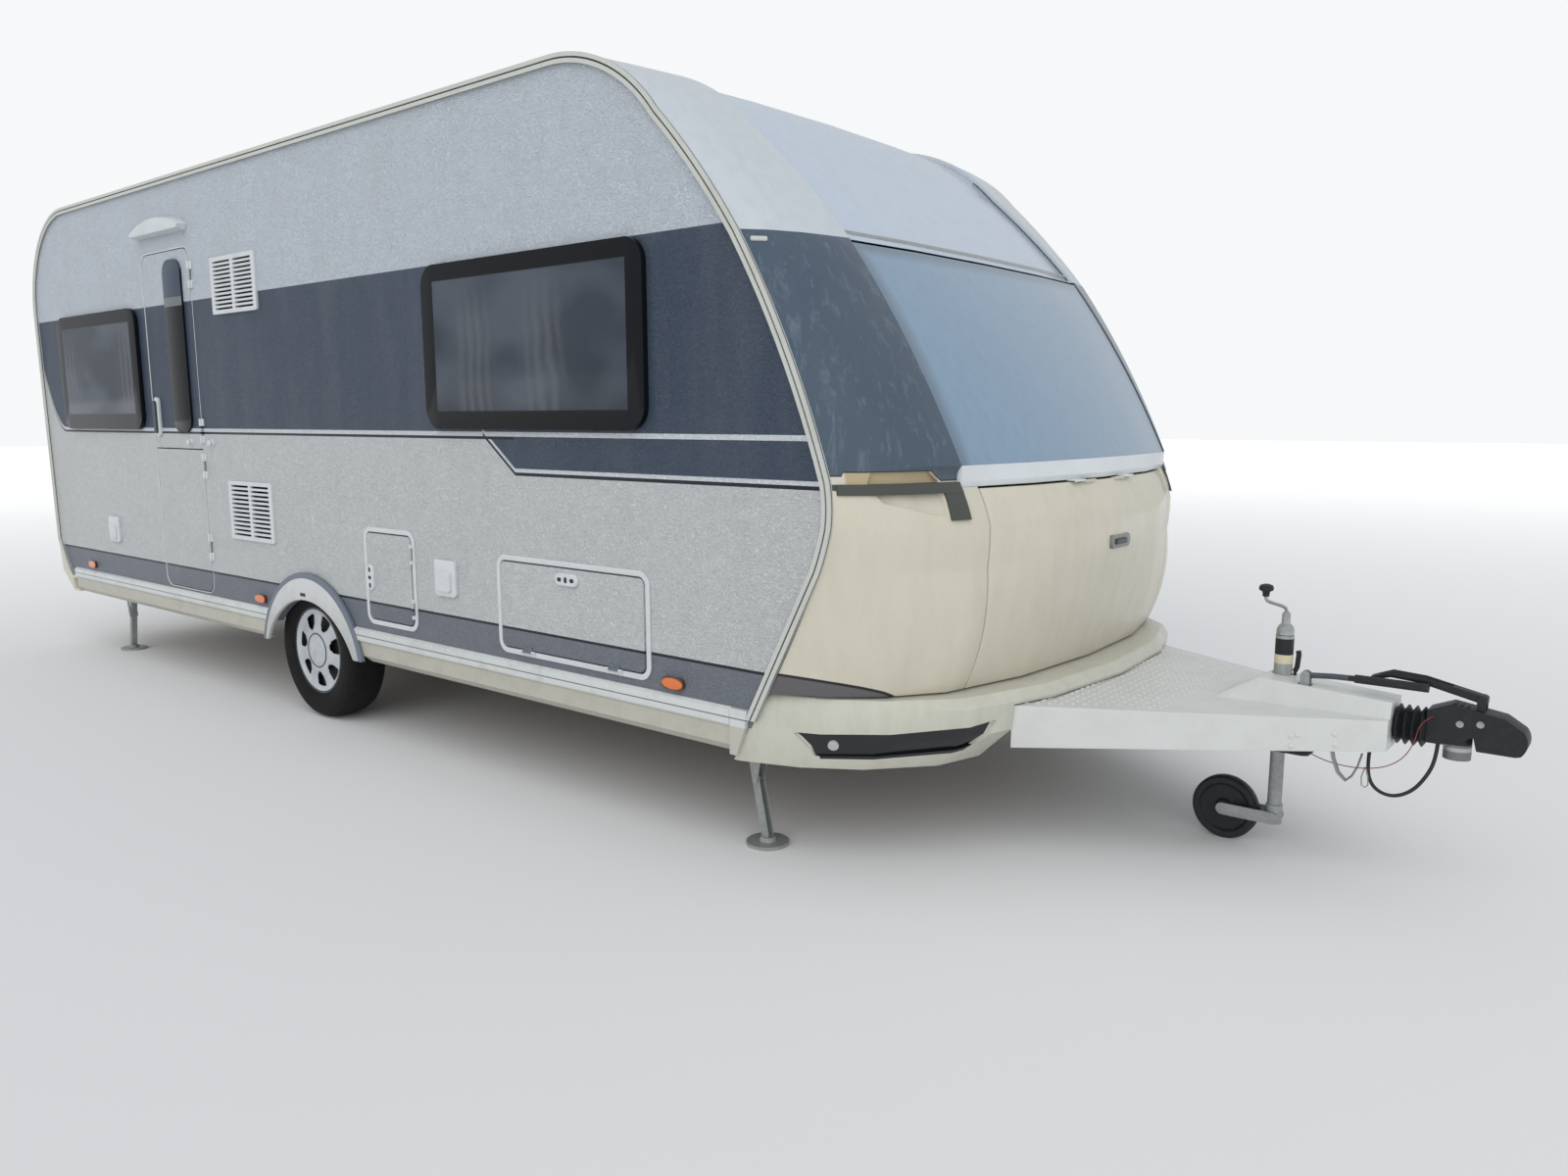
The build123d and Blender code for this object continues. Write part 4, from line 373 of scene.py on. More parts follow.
# Front bumper: deep cream sill below the wings and the lid, with a black lined recess on each
# side for the lamps. The recess narrows outwards and both its ends are cut on a slant.
recess_in, recess_low, recess_high = 0.74, 0.386, 0.476
low_slope, high_slope = 0.06, 0.07
bumper = Finish("bumper_moulding", rough=0.36, coat=0.2)
width, z = abs(bumper.y), bumper.z
dust = bumper.place.stretch(6, 6, 2.0).noise(4, 6, 0.62)
recess = (z > recess_low - (width - recess_in) * low_slope) * (z < recess_high - (width - recess_in) * high_slope)
recess = recess * ((width + (0.451 - z) * 0.5) < 1.105) * ((width + (z - 0.410) * 0.6) > 0.742)
colour = ((dust - 0.42) * 0.8).mix(srgb(196, 195, 182), srgb(160, 156, 140))
bumper.vary("Base Color", recess.mix(colour, (0.008, 0.009, 0.011)))
bumper.vary("Roughness", 0.30 + dust * 0.22 - recess * 0.2)
bumper.dress("front_bumper")
round_edges(0.006, "front_bumper", "rear_bumper", angle=40)
round_edges(0.003, "gas_locker_lid", "front_wings", angle=45)

# Sill under the front pane: white moulded ledge, bonded to the shell. It covers the lid's hinges
# and throws the water from the pane clear of them.
sill = Finish("sill_white", rough=0.35, coat=0.2)
dust = sill.place.noise(7, 5, 0.65)
sill.vary("Base Color", ((dust - 0.4) * 0.6).mix(srgb(214, 219, 222), srgb(180, 180, 172)))
sill.vary("Roughness", 0.28 + dust * 0.2)
sill.dress("front_sill")
round_edges(0.003, "front_sill", angle=45)

# Pillars beside the pane, with the grab bars: dark blue-grey plastic, streaked by run-off water.
# Below its shaped foot each pillar is cream; the pocket behind the dark bar is painted tan as shade.
foot_z, foot_lift, foot_drop = 1.2255, 0.030, 0.011
lift_in, lift_out, drop_out = 0.858, 0.896, 1.128
pocket_shade_in, pocket_shade_out = 0.868, 1.124
lip_wide, bar_top = 0.0035, 1.2225
pillar = Finish("pillar_grey", rough=0.3, coat=0.3)
width, z = abs(pillar.y), pillar.z
streak = pillar.place.stretch(13, 13, 1.1).noise(2.4, 6, 0.68, 0.5)
stain = pillar.place.stretch(1.6, 1.6, 0.8).noise(2.0, 5, 0.65)
run = streak.ramp(0.53, 0.73)
over_foot = z - (foot_z + width.ramp(lift_in, lift_out) * foot_lift - width.step(drop_out, 0.004) * foot_drop)
below = over_foot < 0.0
bar = 1 - z.step(bar_top)
colour = stain.mix(srgb(56, 74, 97), srgb(76, 89, 97))
colour = (run * 0.5).mix(colour, srgb(112, 128, 138))
colour = below.mix(colour, srgb(202, 198, 184))
# Painted shade: the pocket behind the bar is coloured a darker tan.
colour = (below * width.between(pocket_shade_in, pocket_shade_out, 0.006)).mix(colour, srgb(178, 162, 126))
colour = over_foot.between(0.0, lip_wide).mix(colour, srgb(24, 28, 32))
pillar.vary("Base Color", bar.mix(colour, srgb(66, 69, 62)))
pillar.vary("Roughness", 0.18 + run * 0.25 + bar * 0.25)
pillar.dress("front_pillars")
round_edges(0.002, "front_pillars", angle=45)

# Front pane: blue-grey tinted acrylic, dusty, with a darker rim where it is bonded to the shell.
rim_side, rim_top = 0.755, 1.925
pane = Finish("front_pane", rough=0.12, coat=1.0)
haze = pane.place.stretch(10, 10, 1.0).noise(3, 5, 0.6)
rim = abs(pane.y).step(rim_side, 0.05) | pane.z.step(rim_top, 0.03)
colour = ((haze - 0.42) * 0.7).mix(srgb(120, 148, 172), srgb(92, 118, 140))
pane.vary("Base Color", (rim * 0.45).mix(colour, srgb(44, 56, 70)))
pane.vary("Roughness", 0.08 + haze * 0.14)
pane.dress("front_window")
round_edges(0, "front_window")

# Side and rear windows and the door's slot: smoked acrylic, double glazed, with a black border
# printed round the clear part. Pleated curtains are drawn to its ends, their folds in painted light
# and shade, and painted reflections lighten the clear part. A grey bar crosses the door's slot
# under a lighter field.
clear_zones = ((1.7315, 0.535), (-2.100, 0.475), (-0.370, 0.395))  # middle from the axle, half width
clear_z = (1.438, 1.925)
rear_half, rear_z, rear_high = 0.535, 1.65, 0.225
side_from = 1.1
door_slot_u, door_slot_half, door_slot_low = -1.084, 0.10, 1.35
door_bar_low, door_bar_high = 1.975, 2.020
smoked = Finish("smoked_pane", rough=0.1, specular=0.16)
y, z = smoked.y, smoked.z
u = smoked.x - axle_x
haze = smoked.place.noise(2.5, 4, 0.6)
on_side = abs(y).step(side_from)
front_zone, back_zone, left_zone = [abs(u - middle) < half for middle, half in clear_zones]
clear = (front_zone | back_zone | left_zone) * on_side * z.between(*clear_z, 0.004)
clear = clear | ((abs(y) < rear_half) * (1 - on_side) * (abs(z - rear_z) < rear_high))
# Painted light and shade: the curtains' folds are drawn as lighter and darker bands.
pleats = (smoked.x * 105 + z * 2 + haze * 14).maths("SINE") * 0.5 + 0.5
drawn = abs(u - 1.64).between(0.10, 0.30, 0.08) | (abs(u - clear_zones[1][0]).step(0.30, 0.1) * (u < 0.0))
drawn = drawn * clear * (1 - z.step(1.84, 0.16))
# Painted reflection: soft lighter patches over the clear glass.
painted_reflection = smoked.place.stretch(1.2, 1.2, 2.2).noise(1.3, 2, 0.5).between(0.52, 0.9, 0.16) * clear
door_slot = (u - door_slot_u).between(-door_slot_half, door_slot_half) * z.step(door_slot_low)
colour = haze.mix((0.030, 0.037, 0.050), (0.055, 0.065, 0.085))
colour = (drawn * (0.15 + pleats * 0.6)).mix(colour, (0.10, 0.105, 0.115))
colour = (painted_reflection * 0.5).mix(colour, (0.12, 0.14, 0.17))
colour = clear.mix((0.006, 0.007, 0.009), colour)
colour = (door_slot * z.step(door_bar_high)).mix(colour, srgb(66, 76, 92))
colour = (door_slot * z.between(door_bar_low, door_bar_high)).mix(colour, srgb(112, 116, 120))
smoked.vary("Base Color", colour)
smoked.vary("Roughness", 0.06 + haze * 0.06)
smoked.press(clear, 0.002, 0.6)
smoked.dress("windows", "door_pane")
round_edges(0.014, "windows", segments=4)
round_edges(0.004, "door_pane")

# White fittings: door and hatch frames, vents, outlet covers, lamp brow and roof lights, all of
# satin white plastic screwed to the sheet, with dust in their corners.
fitting_white = srgb(206, 210, 212)
fitting = Finish("fitting_white", rough=0.42)
dust = fitting.place.noise(12, 5, 0.7)
fitting.vary("Base Color", ((dust - 0.45) * 0.8).mix(fitting_white, srgb(164, 163, 154)))
fitting.vary("Roughness", 0.36 + dust * 0.2)
fitting.press(dust, 0.0006, 0.3)
fitting.dress("door_frame", "hatch_frames", "wall_fittings", "awning_lamp", "roof_lights")

# Door handle: white plastic grip screwed to the upper door half, with a finger well behind it
# whose floor is dark grey.
well_edge = 1.1665
grip = Finish("door_grip", rough=0.42)
grip.vary("Base Color", abs(grip.y).step(well_edge).mix(fitting_white, srgb(60, 64, 70)))
grip.vary("Roughness", 0.36 + grip.place.noise(20) * 0.2)
grip.dress("door_handle")
round_edges(0.0035, "hatch_frames", angle=30)
round_edges(0.002, "wall_fittings", "door_frame")
round_edges(0.008, "awning_lamp", "door_handle", "roof_lights", angle=25)


# Hatch locks: white oval plates with dark keyholes, screwed to each hatch where its lock barrel
# passes through. The plates ride on the hatches.
class Pile:
    """Small fittings of one finish, gathered into one mesh that rides on one body."""

    def __init__(self):
        self.form = bmesh.new()

    def rings(self, loops):
        """Skin a row of closed loops of points, and close both ends."""
        made = [[self.form.verts.new(point) for point in loop] for loop in loops]
        for loop, following in zip(made, made[1:]):
            for k in range(len(loop)):
                near = (k + 1) % len(loop)
                self.form.faces.new((loop[k], loop[near], following[near], following[k]))
        self.form.faces.new(made[0][::-1])
        self.form.faces.new(made[-1])

    def stack(self, origin, outward, up, layers):
        """Skin outlines in the plane across outward: each layer is its points and its height."""
        outward = Vector(outward).normalized()
        along = Vector(up).cross(outward).normalized()
        up = outward.cross(along)
        self.rings([
            [Vector(origin) + a * along + b * up + height * outward for a, b in outline]
            for outline, height in layers
        ])

    def rod(self, points, radius, sides=10, flat=1.0):
        """Skin a bar along a line of points; flat squeezes its upright width."""
        points = [Vector(point) for point in points]
        angles = [2 * math.pi * s / sides for s in range(sides)]
        loops = []
        aside = None
        for k, point in enumerate(points):
            run = (points[min(k + 1, len(points) - 1)] - points[max(k - 1, 0)]).normalized()
            if aside is None:
                aside = run.orthogonal().normalized()
            aside = (aside - run * aside.dot(run)).normalized()
            over = run.cross(aside)
            loops.append([
                point + radius * (math.cos(angle) * aside + flat * math.sin(angle) * over) for angle in angles
            ])
        self.rings(loops)

    def done(self, name, finish, body, slot, *replaced):
        bmesh.ops.recalc_face_normals(self.form, faces=self.form.faces)
        mesh = bpy.data.meshes.new(name)
        self.form.to_mesh(mesh)
        self.form.free()
        mesh.materials.append(finish.material)
        made = bpy.data.objects.new(name, mesh)
        bpy.context.scene.collection.objects.link(made)
        smooth(made)
        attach(made, body)
        if replaced:
            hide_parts(*replaced)


def rounded(width, height, radius, steps=4):
    """A rectangle with round corners, as points about its middle."""
    points = []
    for corner, (a, b) in enumerate(((1, 1), (-1, 1), (-1, -1), (1, -1))):
        for k in range(steps + 1):
            turn = math.radians(90 * corner + 90 * k / steps)
            points.append((
                a * (width / 2 - radius) + radius * math.cos(turn),
                b * (height / 2 - radius) + radius * math.sin(turn),
            ))
    return points


def raised(width, height, radius, thick, soft=0.002):
    """Layers of a plate with a soft outer edge."""
    outer = rounded(width, height, radius)
    inner = rounded(width - 2 * soft, height - 2 * soft, max(radius - soft, 0.0005))
    return (outer, 0.0), (outer, thick - soft), (inner, thick)


def touch(node, start, way):
    """Where a ray meets a CAD node, and the surface's outward direction there."""
    hit, place, facing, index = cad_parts[node].ray_cast(Vector(start), Vector(way))
    return place, facing if facing.dot(Vector(way)) < 0 else -facing


off_wall = 1.4  # where rays towards a wall start
upright = (0, 0, 1)
lock_stand = 0.012
lock_sunk = 0.002
end_gap = 0.0005  # keeps the two points of a round end apart
keyhole = Finish("keyhole_dark", rough=0.5)
keyhole.vary("Base Color", keyhole.place.noise(90).mix((0.006, 0.006, 0.007), (0.022, 0.022, 0.024)))
# Hatch, place of the plate from the axle and the ground, its width and height, and its side
locks = (
    ("hatch_large_right", (1.918, 0.842), (0.122, 0.046), -1),
    ("hatch_small_right", (0.630, 0.738), (0.048, 0.112), -1),
    ("hatch_large_left", (1.918, 0.842), (0.122, 0.046), 1),
    ("hatch_toilet_left", (-1.150, 0.872), (0.122, 0.046), 1),
)
# Each keyhole's shift along the plate, and its length along and across it
holes_in_plate = ((-0.034, (0.022, 0.015)), (0.0, (0.016, 0.022)), (0.034, (0.022, 0.015)))
for hatch, (lock_x, lock_z), (wide, high), side in locks:
    lock_x += axle_x
    face = touch(hatch, (lock_x, side * off_wall, lock_z), (0, -side, 0))[0].y
    plates = Pile()
    plates.stack((lock_x, face - side * lock_sunk, lock_z), (0, side, 0), upright,
                 raised(wide, high, min(wide, high) / 2 - end_gap, lock_stand, 0.004))
    plates.done(hatch + "_lock", fitting, hatch, "fitting_white")
    holes = Pile()
    hole_y = face + side * (lock_stand - 0.0025)
    for shift, (hole_wide, hole_high) in holes_in_plate:
        spot = (lock_x + shift, hole_y, lock_z)
        if high > wide:
            spot = (lock_x, hole_y, lock_z + shift)
            hole_wide, hole_high = hole_high, hole_wide
        corner = min(hole_wide, hole_high) / 2 - end_gap
        holes.stack(spot, (0, side, 0), upright, raised(hole_wide, hole_high, corner, 0.001, 0.0004))
    holes.done(hatch + "_keyhole", keyhole, hatch, "black_plastic")


# Door catch: a white round knob on the upper door half, and its mate on the wall, which hold the
# opened door back.
def circle(radius, count=20):
    angles = [2 * math.pi * k / count for k in range(count)]
    return [(radius * math.cos(angle), radius * math.sin(angle)) for angle in angles]


def turned(*steps, count=20):
    """Layers of a round piece, from pairs of radius and height."""
    return [(circle(radius, count), height) for radius, height in steps]


catch_z = 1.291
catches = (
    ("door_catch", -1.020, "door_upper", "door_upper"),
    ("wall_catch", -0.783, "caravan", "wall_right"),
)
for name, knob_x, body, node in catches:
    face = touch(node, (axle_x + knob_x, -off_wall, catch_z), (0, 1, 0))[0].y
    knob = Pile()
    knob.stack((axle_x + knob_x, face + 0.001, catch_z), (0, -1, 0), upright, turned(
        (0.020, 0.0), (0.020, 0.004), (0.011, 0.007), (0.011, 0.016), (0.016, 0.019), (0.013, 0.024),
    ))
    knob.done(name, fitting, body, "fitting_white")

# Skirts: white double-profile rail over a cream skirt along each side, dirty from the road. A
# moulded end piece closes each rail at the front bumper.
rail_foot, rail_line = 0.446, (0.470, 0.474)
end_x = 1.866
end_inner, end_outer = 1.118, 1.1655
end_outline = ((0.0, 0.352), (0.028, 0.352), (0.062, 0.440), (0.072, 0.503), (0.0, 0.503))
skirt = Finish("skirt", rough=0.4)
dust = skirt.place.noise(8, 6, 0.7)
colour = skirt.z.step(rail_foot, 0.002).mix(srgb(186, 184, 172), srgb(206, 209, 208))
colour = skirt.z.between(*rail_line).mix(colour, srgb(104, 108, 112))
skirt.vary("Base Color", ((dust - 0.5) * 1.1).mix(colour, srgb(132, 126, 110)))
skirt.vary("Roughness", 0.34 + dust * 0.22)
skirt.press(dust, 0.0008, 0.35)
skirt.dress("skirts")
skirt_ends = Pile()
for side in (-1, 1):
    skirt_ends.rings([
        [(end_x + a, side * out, b) for a, b in end_outline] for out in (end_inner, end_outer)
    ])
skirt_ends.done("skirt_ends", skirt, "caravan", "fitting_white")

# Wheel arches: dull white mouldings over the wheels, with a grey sealing strip along their outer
# edge and a small black slot at the crown, mottled with dust and darker towards the foot.
arch_x, arch_z, strip_radius = axle_x + 0.087, 0.259, 0.426
slot_x, slot_half, slot_z = axle_x + 0.056, 0.024, (0.599, 0.615)
arch = Finish("arch_white", rough=0.42)
z = arch.z
dust = arch.place.noise(9, 6, 0.7)
# Darker towards the foot, below about half a metre.
low = 1 - z.step(0.52, 0.25)
out_x, out_z = arch.x - arch_x, z - arch_z
strip = (out_x * out_x + out_z * out_z).maths("SQRT").step(strip_radius, 0.002)
slot = (arch.x - slot_x).between(-slot_half, slot_half) * z.between(*slot_z)
colour = (low * 0.35 + (dust - 0.5) * 0.6).mix(srgb(204, 206, 206), srgb(124, 120, 110))
colour = strip.mix(colour, srgb(108, 116, 128))
arch.vary("Base Color", slot.mix(colour, (0.008, 0.008, 0.009)))
arch.vary("Roughness", 0.38 + dust * 0.2)
arch.dress("wheel_arches")
round_edges(0.006, "wheel_arches", "skirts", angle=25)

# Drawbar cover: white moulding over the drawbar, with raised anti-slip dots in a rhombic pattern
# on its rear top, where one steps on it.
cover_rear, cover_front = 3.40, 4.363  # where the cover's taper starts and ends, from the axle
cover_rear_half, cover_front_half = 0.620, 0.100
stud_first, stud_last, stud_pitch, stud_margin = 3.12, 3.80, 0.040, 0.045
stud_rows, stud_reach = 24, 14
stud_sunk = 0.001
stud_layers = (
    (rounded(0.024, 0.014, 0.0065, 3), 0.0), (rounded(0.021, 0.011, 0.005, 3), 0.0034),
    (rounded(0.012, 0.005, 0.0022, 3), 0.0046),
)
cover = Finish("cover_white", rough=0.36, coat=0.15)
dust = cover.place.noise(9, 6, 0.68)
cover.vary("Base Color", ((dust - 0.42) * 0.6).mix(srgb(206, 208, 206), srgb(170, 168, 156)))
cover.vary("Roughness", 0.3 + dust * 0.25)
cover.press(dust, 0.0008, 0.4)
cover.dress("drawbar_cover")
round_edges(0.012, "drawbar_cover", segments=4, angle=18)
studs = Pile()
for row in range(stud_rows):
    stud_u = stud_first + row * stud_pitch * 0.75
    taper = max((stud_u - cover_rear) / (cover_front - cover_rear), 0)
    reach = cover_rear_half + (cover_front_half - cover_rear_half) * taper - stud_margin
    for column in range(-stud_reach, stud_reach + 1):
        stud_y = (column + 0.5 * (row % 2)) * stud_pitch
        if abs(stud_y) > reach or stud_u > stud_last:
            continue
        spot, facing = touch("drawbar_cover", (axle_x + stud_u, stud_y, 0.8), (0, 0, -1))
        if spot.z > 0.50 and facing.z > 0.9:
            studs.stack(spot - facing * stud_sunk, facing, (1, 0, 0), stud_layers)
studs.done("cover_studs", cover, "caravan", "cover_white")

# Rivets of the drawbar cover: white domed heads on both sides, which join its cheeks to the frame
# inside. Their places are x and z.
rivet_places = (
    (3.297, 0.459), (3.314, 0.462), (3.299, 0.427), (3.301, 0.393), (3.405, 0.471), (3.408, 0.438),
    (3.409, 0.411),
)
rivets = Pile()
for rivet_x, rivet_z in rivet_places:
    for side in (-1, 1):
        spot, facing = touch("drawbar_cover", (rivet_x, side * 0.8, rivet_z), (0, -side, 0))
        rivets.stack(spot - facing * 0.001, facing, upright, turned(
            (0.0085, 0.0), (0.0080, 0.0025), (0.0050, 0.0045), (0.0015, 0.0050), count=14,
        ))
rivets.done("cover_rivets", cover, "caravan", "cover_white")

# Jockey wheel's post: zinc tube clamped in the drawbar, with a black collar at its top over a
# pale ring.
ring_low, collar_low, collar_high = 0.625, 0.654, 0.706
post_skin = Finish("jockey_post_bands", rough=0.4)
collar = post_skin.z.between(collar_low, collar_high)
pale_ring = post_skin.z.between(ring_low, collar_low)
colour = post_skin.place.noise(60).mix(srgb(146, 150, 151), zinc_light)
colour = pale_ring.mix(colour, srgb(206, 198, 168))
post_skin.vary("Base Color", collar.mix(colour, (0.010, 0.011, 0.013)))
post_skin.vary("Metallic", (1 - (collar | pale_ring)) * 0.45)
post_skin.vary("Roughness", 0.38 + collar * 0.1)
post_skin.dress("jockey_post")
round_edges(0.0015, "jockey_post", angle=40)

# Bellows, coupling handle and jockey wheel: black rubber and plastic, scuffed grey where hands
# and stones rub.
black_deep, black_scuffed = (0.010, 0.011, 0.013), (0.045, 0.047, 0.052)
black = Finish("black_plastic", rough=0.5)
scuff = black.place.noise(40, 5, 0.7)
black.vary("Base Color", ((scuff - 0.45) * 1.2).mix(black_deep, black_scuffed))
black.vary("Roughness", 0.4 + scuff * 0.25)
black.press(scuff, 0.0006, 0.5)
black.dress("coupling_handle", "jockey_wheel", "bellows")

# Coupling head: black painted casting. The steel pot under its nose stands bare, with a bright
# ring turned round it.
pot_top, pot_ring = 0.4600, (0.440, 0.452)
pot_x, pot_half = axle_x + 4.5315, 0.0385
head_skin = Finish("coupling_casting", rough=0.5)
scuff = head_skin.place.noise(40, 5, 0.7)
near_pot = (head_skin.x - pot_x).between(-pot_half, pot_half)
pot = (1 - head_skin.z.step(pot_top)) * near_pot
colour = ((scuff - 0.45) * 1.2).mix(black_deep, black_scuffed)
colour = pot.mix(colour, srgb(132, 134, 132))
colour = (head_skin.z.between(*pot_ring) * near_pot).mix(colour, srgb(190, 192, 192))
head_skin.vary("Base Color", colour)
head_skin.vary("Metallic", pot * 0.7)
head_skin.vary("Roughness", 0.42 + scuff * 0.2)
head_skin.press(scuff, 0.0006, 0.5)
head_skin.dress("coupling_head")

# Handbrake lever: zinc bar hinged on the coupling's tube, with a black rubber sleeve over its
# front half as a grip.
sleeve_from = 4.235
lever_skin = Finish("brake_lever", rough=0.5)
sleeve = (lever_skin.x - axle_x).step(sleeve_from)
scuff = lever_skin.place.noise(40, 5, 0.7)
colour = sleeve.mix(srgb(92, 98, 104), (0.012, 0.013, 0.015))
lever_skin.vary("Base Color", ((scuff - 0.45) * 0.8).mix(colour, srgb(70, 70, 70)))
lever_skin.vary("Metallic", (1 - sleeve) * 0.6)
lever_skin.dress("handbrake_lever")
round_edges(0.006, "coupling_head", segments=4, angle=25)
round_edges(0.006, "coupling_handle", segments=4, angle=30)
round_edges(0.002, "jockey_wheel", "bellows", "handbrake_lever")

# Coupling bolts: two bright bolts through the casting on each side, each a round washer with a
# hexagonal head.
bolt_places = ((3.708, 0.526), (3.759, 0.533))
bright = Finish("bright_steel", rough=0.3, metal=0.9)
bright.vary("Base Color", bright.place.noise(80).mix(srgb(168, 170, 170), srgb(196, 198, 198)))
bolts = Pile()
for bolt_x, bolt_z in bolt_places:
    for side in (-1, 1):
        spot, facing = touch("coupling_head", (bolt_x, side * 0.4, bolt_z), (0, -side, 0))
        seat = spot - facing * 0.001
        bolts.stack(seat, facing, upright, turned((0.0105, 0.0), (0.0100, 0.0028), count=16))
        bolts.stack(seat, facing, upright, turned((0.0072, 0.0), (0.0068, 0.0070), count=6))
bolts.done("coupling_bolts", bright, "caravan", "galvanised")

# Coupling ribs: three low ribs cast across the head's crown, where a hand presses it down, and
# painted with it.
ribs = Pile()
for rib_x in (3.690, 3.706, 3.722):
    spot, facing = touch("coupling_head", (rib_x, 0, 0.9), (0, 0, -1))
    ribs.stack(spot - facing * 0.001, facing, (0, 1, 0), raised(0.006, 0.050, 0.0029, 0.004, 0.0015))
ribs.done("coupling_ribs", black, "caravan", "black_plastic")

# Jockey clamp: black casting that grips the post under the drawbar, tightened by a flat lever on
# a screw beside the post.
jockey_x, jockey_y = axle_x + 4.021, 0.040
clamp_shift, clamp_low = 0.036, 0.336
clamp_layers = (
    (rounded(0.128, 0.070, 0.020), 0.0), (rounded(0.146, 0.088, 0.024), 0.010),
    (rounded(0.146, 0.088, 0.024), 0.050), (rounded(0.138, 0.080, 0.022), 0.065),
)
clamp_lever = ((3.226, 0.046, 0.600), (3.232, 0.046, 0.615), (3.235, 0.046, 0.655), (3.233, 0.046, 0.668))
clamp_screw = ((3.226, 0.046, 0.560), (3.227, 0.046, 0.604))
clamp = Pile()
clamp.stack((jockey_x + clamp_shift, jockey_y, clamp_low), upright, (0, 1, 0), clamp_layers)
clamp.rod(clamp_lever, 0.009, flat=0.6)
clamp.rod(clamp_screw, 0.005)
clamp.done("jockey_clamp", black, "caravan", "black_plastic")

# Safety strap: flat grey strap slung under the drawbar, with a wire loop to hang it up by. Both
# hang on the flange.
strap_route = (
    (3.375, -0.052, 0.392), (3.380, -0.052, 0.365), (3.396, -0.052, 0.322), (3.419, -0.052, 0.300),
    (3.436, -0.052, 0.318), (3.450, -0.052, 0.350), (3.460, -0.052, 0.392),
)
loop_route = (
    (3.470, -0.050, 0.352), (3.462, -0.050, 0.320), (3.464, -0.050, 0.294), (3.474, -0.050, 0.288),
    (3.482, -0.050, 0.298), (3.480, -0.050, 0.322), (3.472, -0.050, 0.352),
)
strap = Pile()
strap.rod(strap_route, 0.007, flat=0.45)
strap.rod(loop_route, 0.002)
strap.done("safety_strap", zinc, "caravan", "galvanised")

# Jockey crank: bright tapered cap on the post's top with a bent rod through it. It turns as one
# piece on the post.
post_top = 0.718
knob_x, knob_y = jockey_x - 0.046, jockey_y - 0.072
crank_bend = (
    (jockey_x, jockey_y, 0.060), (jockey_x, jockey_y, 0.076), (jockey_x - 0.003, jockey_y - 0.005, 0.086),
    (jockey_x - 0.010, jockey_y - 0.016, 0.093), (knob_x + 0.010, knob_y + 0.016, 0.108),
    (knob_x + 0.003, knob_y + 0.005, 0.114), (knob_x, knob_y, 0.124), (knob_x, knob_y, 0.150),
)
crank_rod = Pile()
crank_rod.stack((jockey_x, jockey_y, post_top), upright, (0, 1, 0), turned(
    (0.027, 0.0), (0.027, 0.016), (0.022, 0.028), (0.0135, 0.036), (0.013, 0.066), (0.008, 0.074),
))
crank_rod.rod([(x, y, post_top + over) for x, y, over in crank_bend], 0.0055)
crank_rod.done("crank_rod", bright, "jockey_crank", "galvanised", "jockey_crank")

# Crank knob: black plastic mushroom pressed on the rod's upper end, which a hand turns the
# crank by.
crank_knob = Pile()
crank_knob.stack((knob_x, knob_y, post_top + 0.128), upright, (0, 1, 0), turned(
    (0.010, 0.0), (0.011, 0.012), (0.0125, 0.016), (0.021, 0.020), (0.0225, 0.027), (0.019, 0.036),
    (0.008, 0.0400),
))
crank_knob.done("crank_knob", black, "jockey_crank", "black_plastic", "jockey_crank")

# Cables under the drawbar: the towing lead is a rubber-sheathed loop from the flange up to the
# head, and the breakaway cable a thin red wire over the bellows to the jockey post. Both are
# clipped at their ends. Points are x from the axle, y and z, in metres.
lead_width = 0.011
lead_route = (
    (4.308, -0.036, 0.4195), (4.303, -0.042, 0.352), (4.322, -0.047, 0.292), (4.376, -0.049, 0.272),
    (4.430, -0.049, 0.300), (4.466, -0.046, 0.355), (4.484, -0.038, 0.408), (4.485, -0.030, 0.4555),
)
wire_width = 0.003
wire_route = (
    (4.470, -0.042, 0.540), (4.440, -0.066, 0.520), (4.433, -0.071, 0.468), (4.412, -0.070, 0.414),
    (4.372, -0.064, 0.374), (4.316, -0.060, 0.352), (4.258, -0.054, 0.345), (4.200, -0.044, 0.346),
    (4.150, -0.027, 0.353), (4.100, 0.002, 0.366), (4.050, 0.040, 0.374),
)


def lay_cable(name, route, width, finish):
    """A round cable on a smooth line with these points as its control points."""
    curve = bpy.data.curves.new(name, "CURVE")
    curve.dimensions = "3D"
    spline = curve.splines.new("NURBS")
    spline.points.add(len(route) - 1)
    for point, (x, y, z) in zip(spline.points, route):
        point.co = (axle_x + x, y, z, 1)
        point.radius = width / 2
    spline.order_u = 3
    spline.use_endpoint_u = True
    spline.resolution_u = 8
    curve.bevel_depth = 1.0  # times each point's own radius
    curve.bevel_resolution = 3
    curve.use_fill_caps = True
    curve.materials.append(finish.material)
    cable = bpy.data.objects.new(name, curve)
    bpy.context.scene.collection.objects.link(cable)
    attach(cable, "caravan")
    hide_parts("drawbar_cables")


rubber = Finish("cable_rubber", rough=0.55)
rubber.vary("Base Color", rubber.place.noise(60).mix((0.012, 0.012, 0.013), (0.03, 0.03, 0.032)))
rubber.press(rubber.place.noise(300), 0.0004)
lay_cable("tow_lead", lead_route, lead_width, rubber)
red_sleeve = Finish("cable_red", rough=0.4)
red_sleeve.vary("Base Color", red_sleeve.place.noise(80).mix((0.16, 0.02, 0.02), (0.30, 0.05, 0.04)))
lay_cable("breakaway_wire", wire_route, wire_width, red_sleeve)

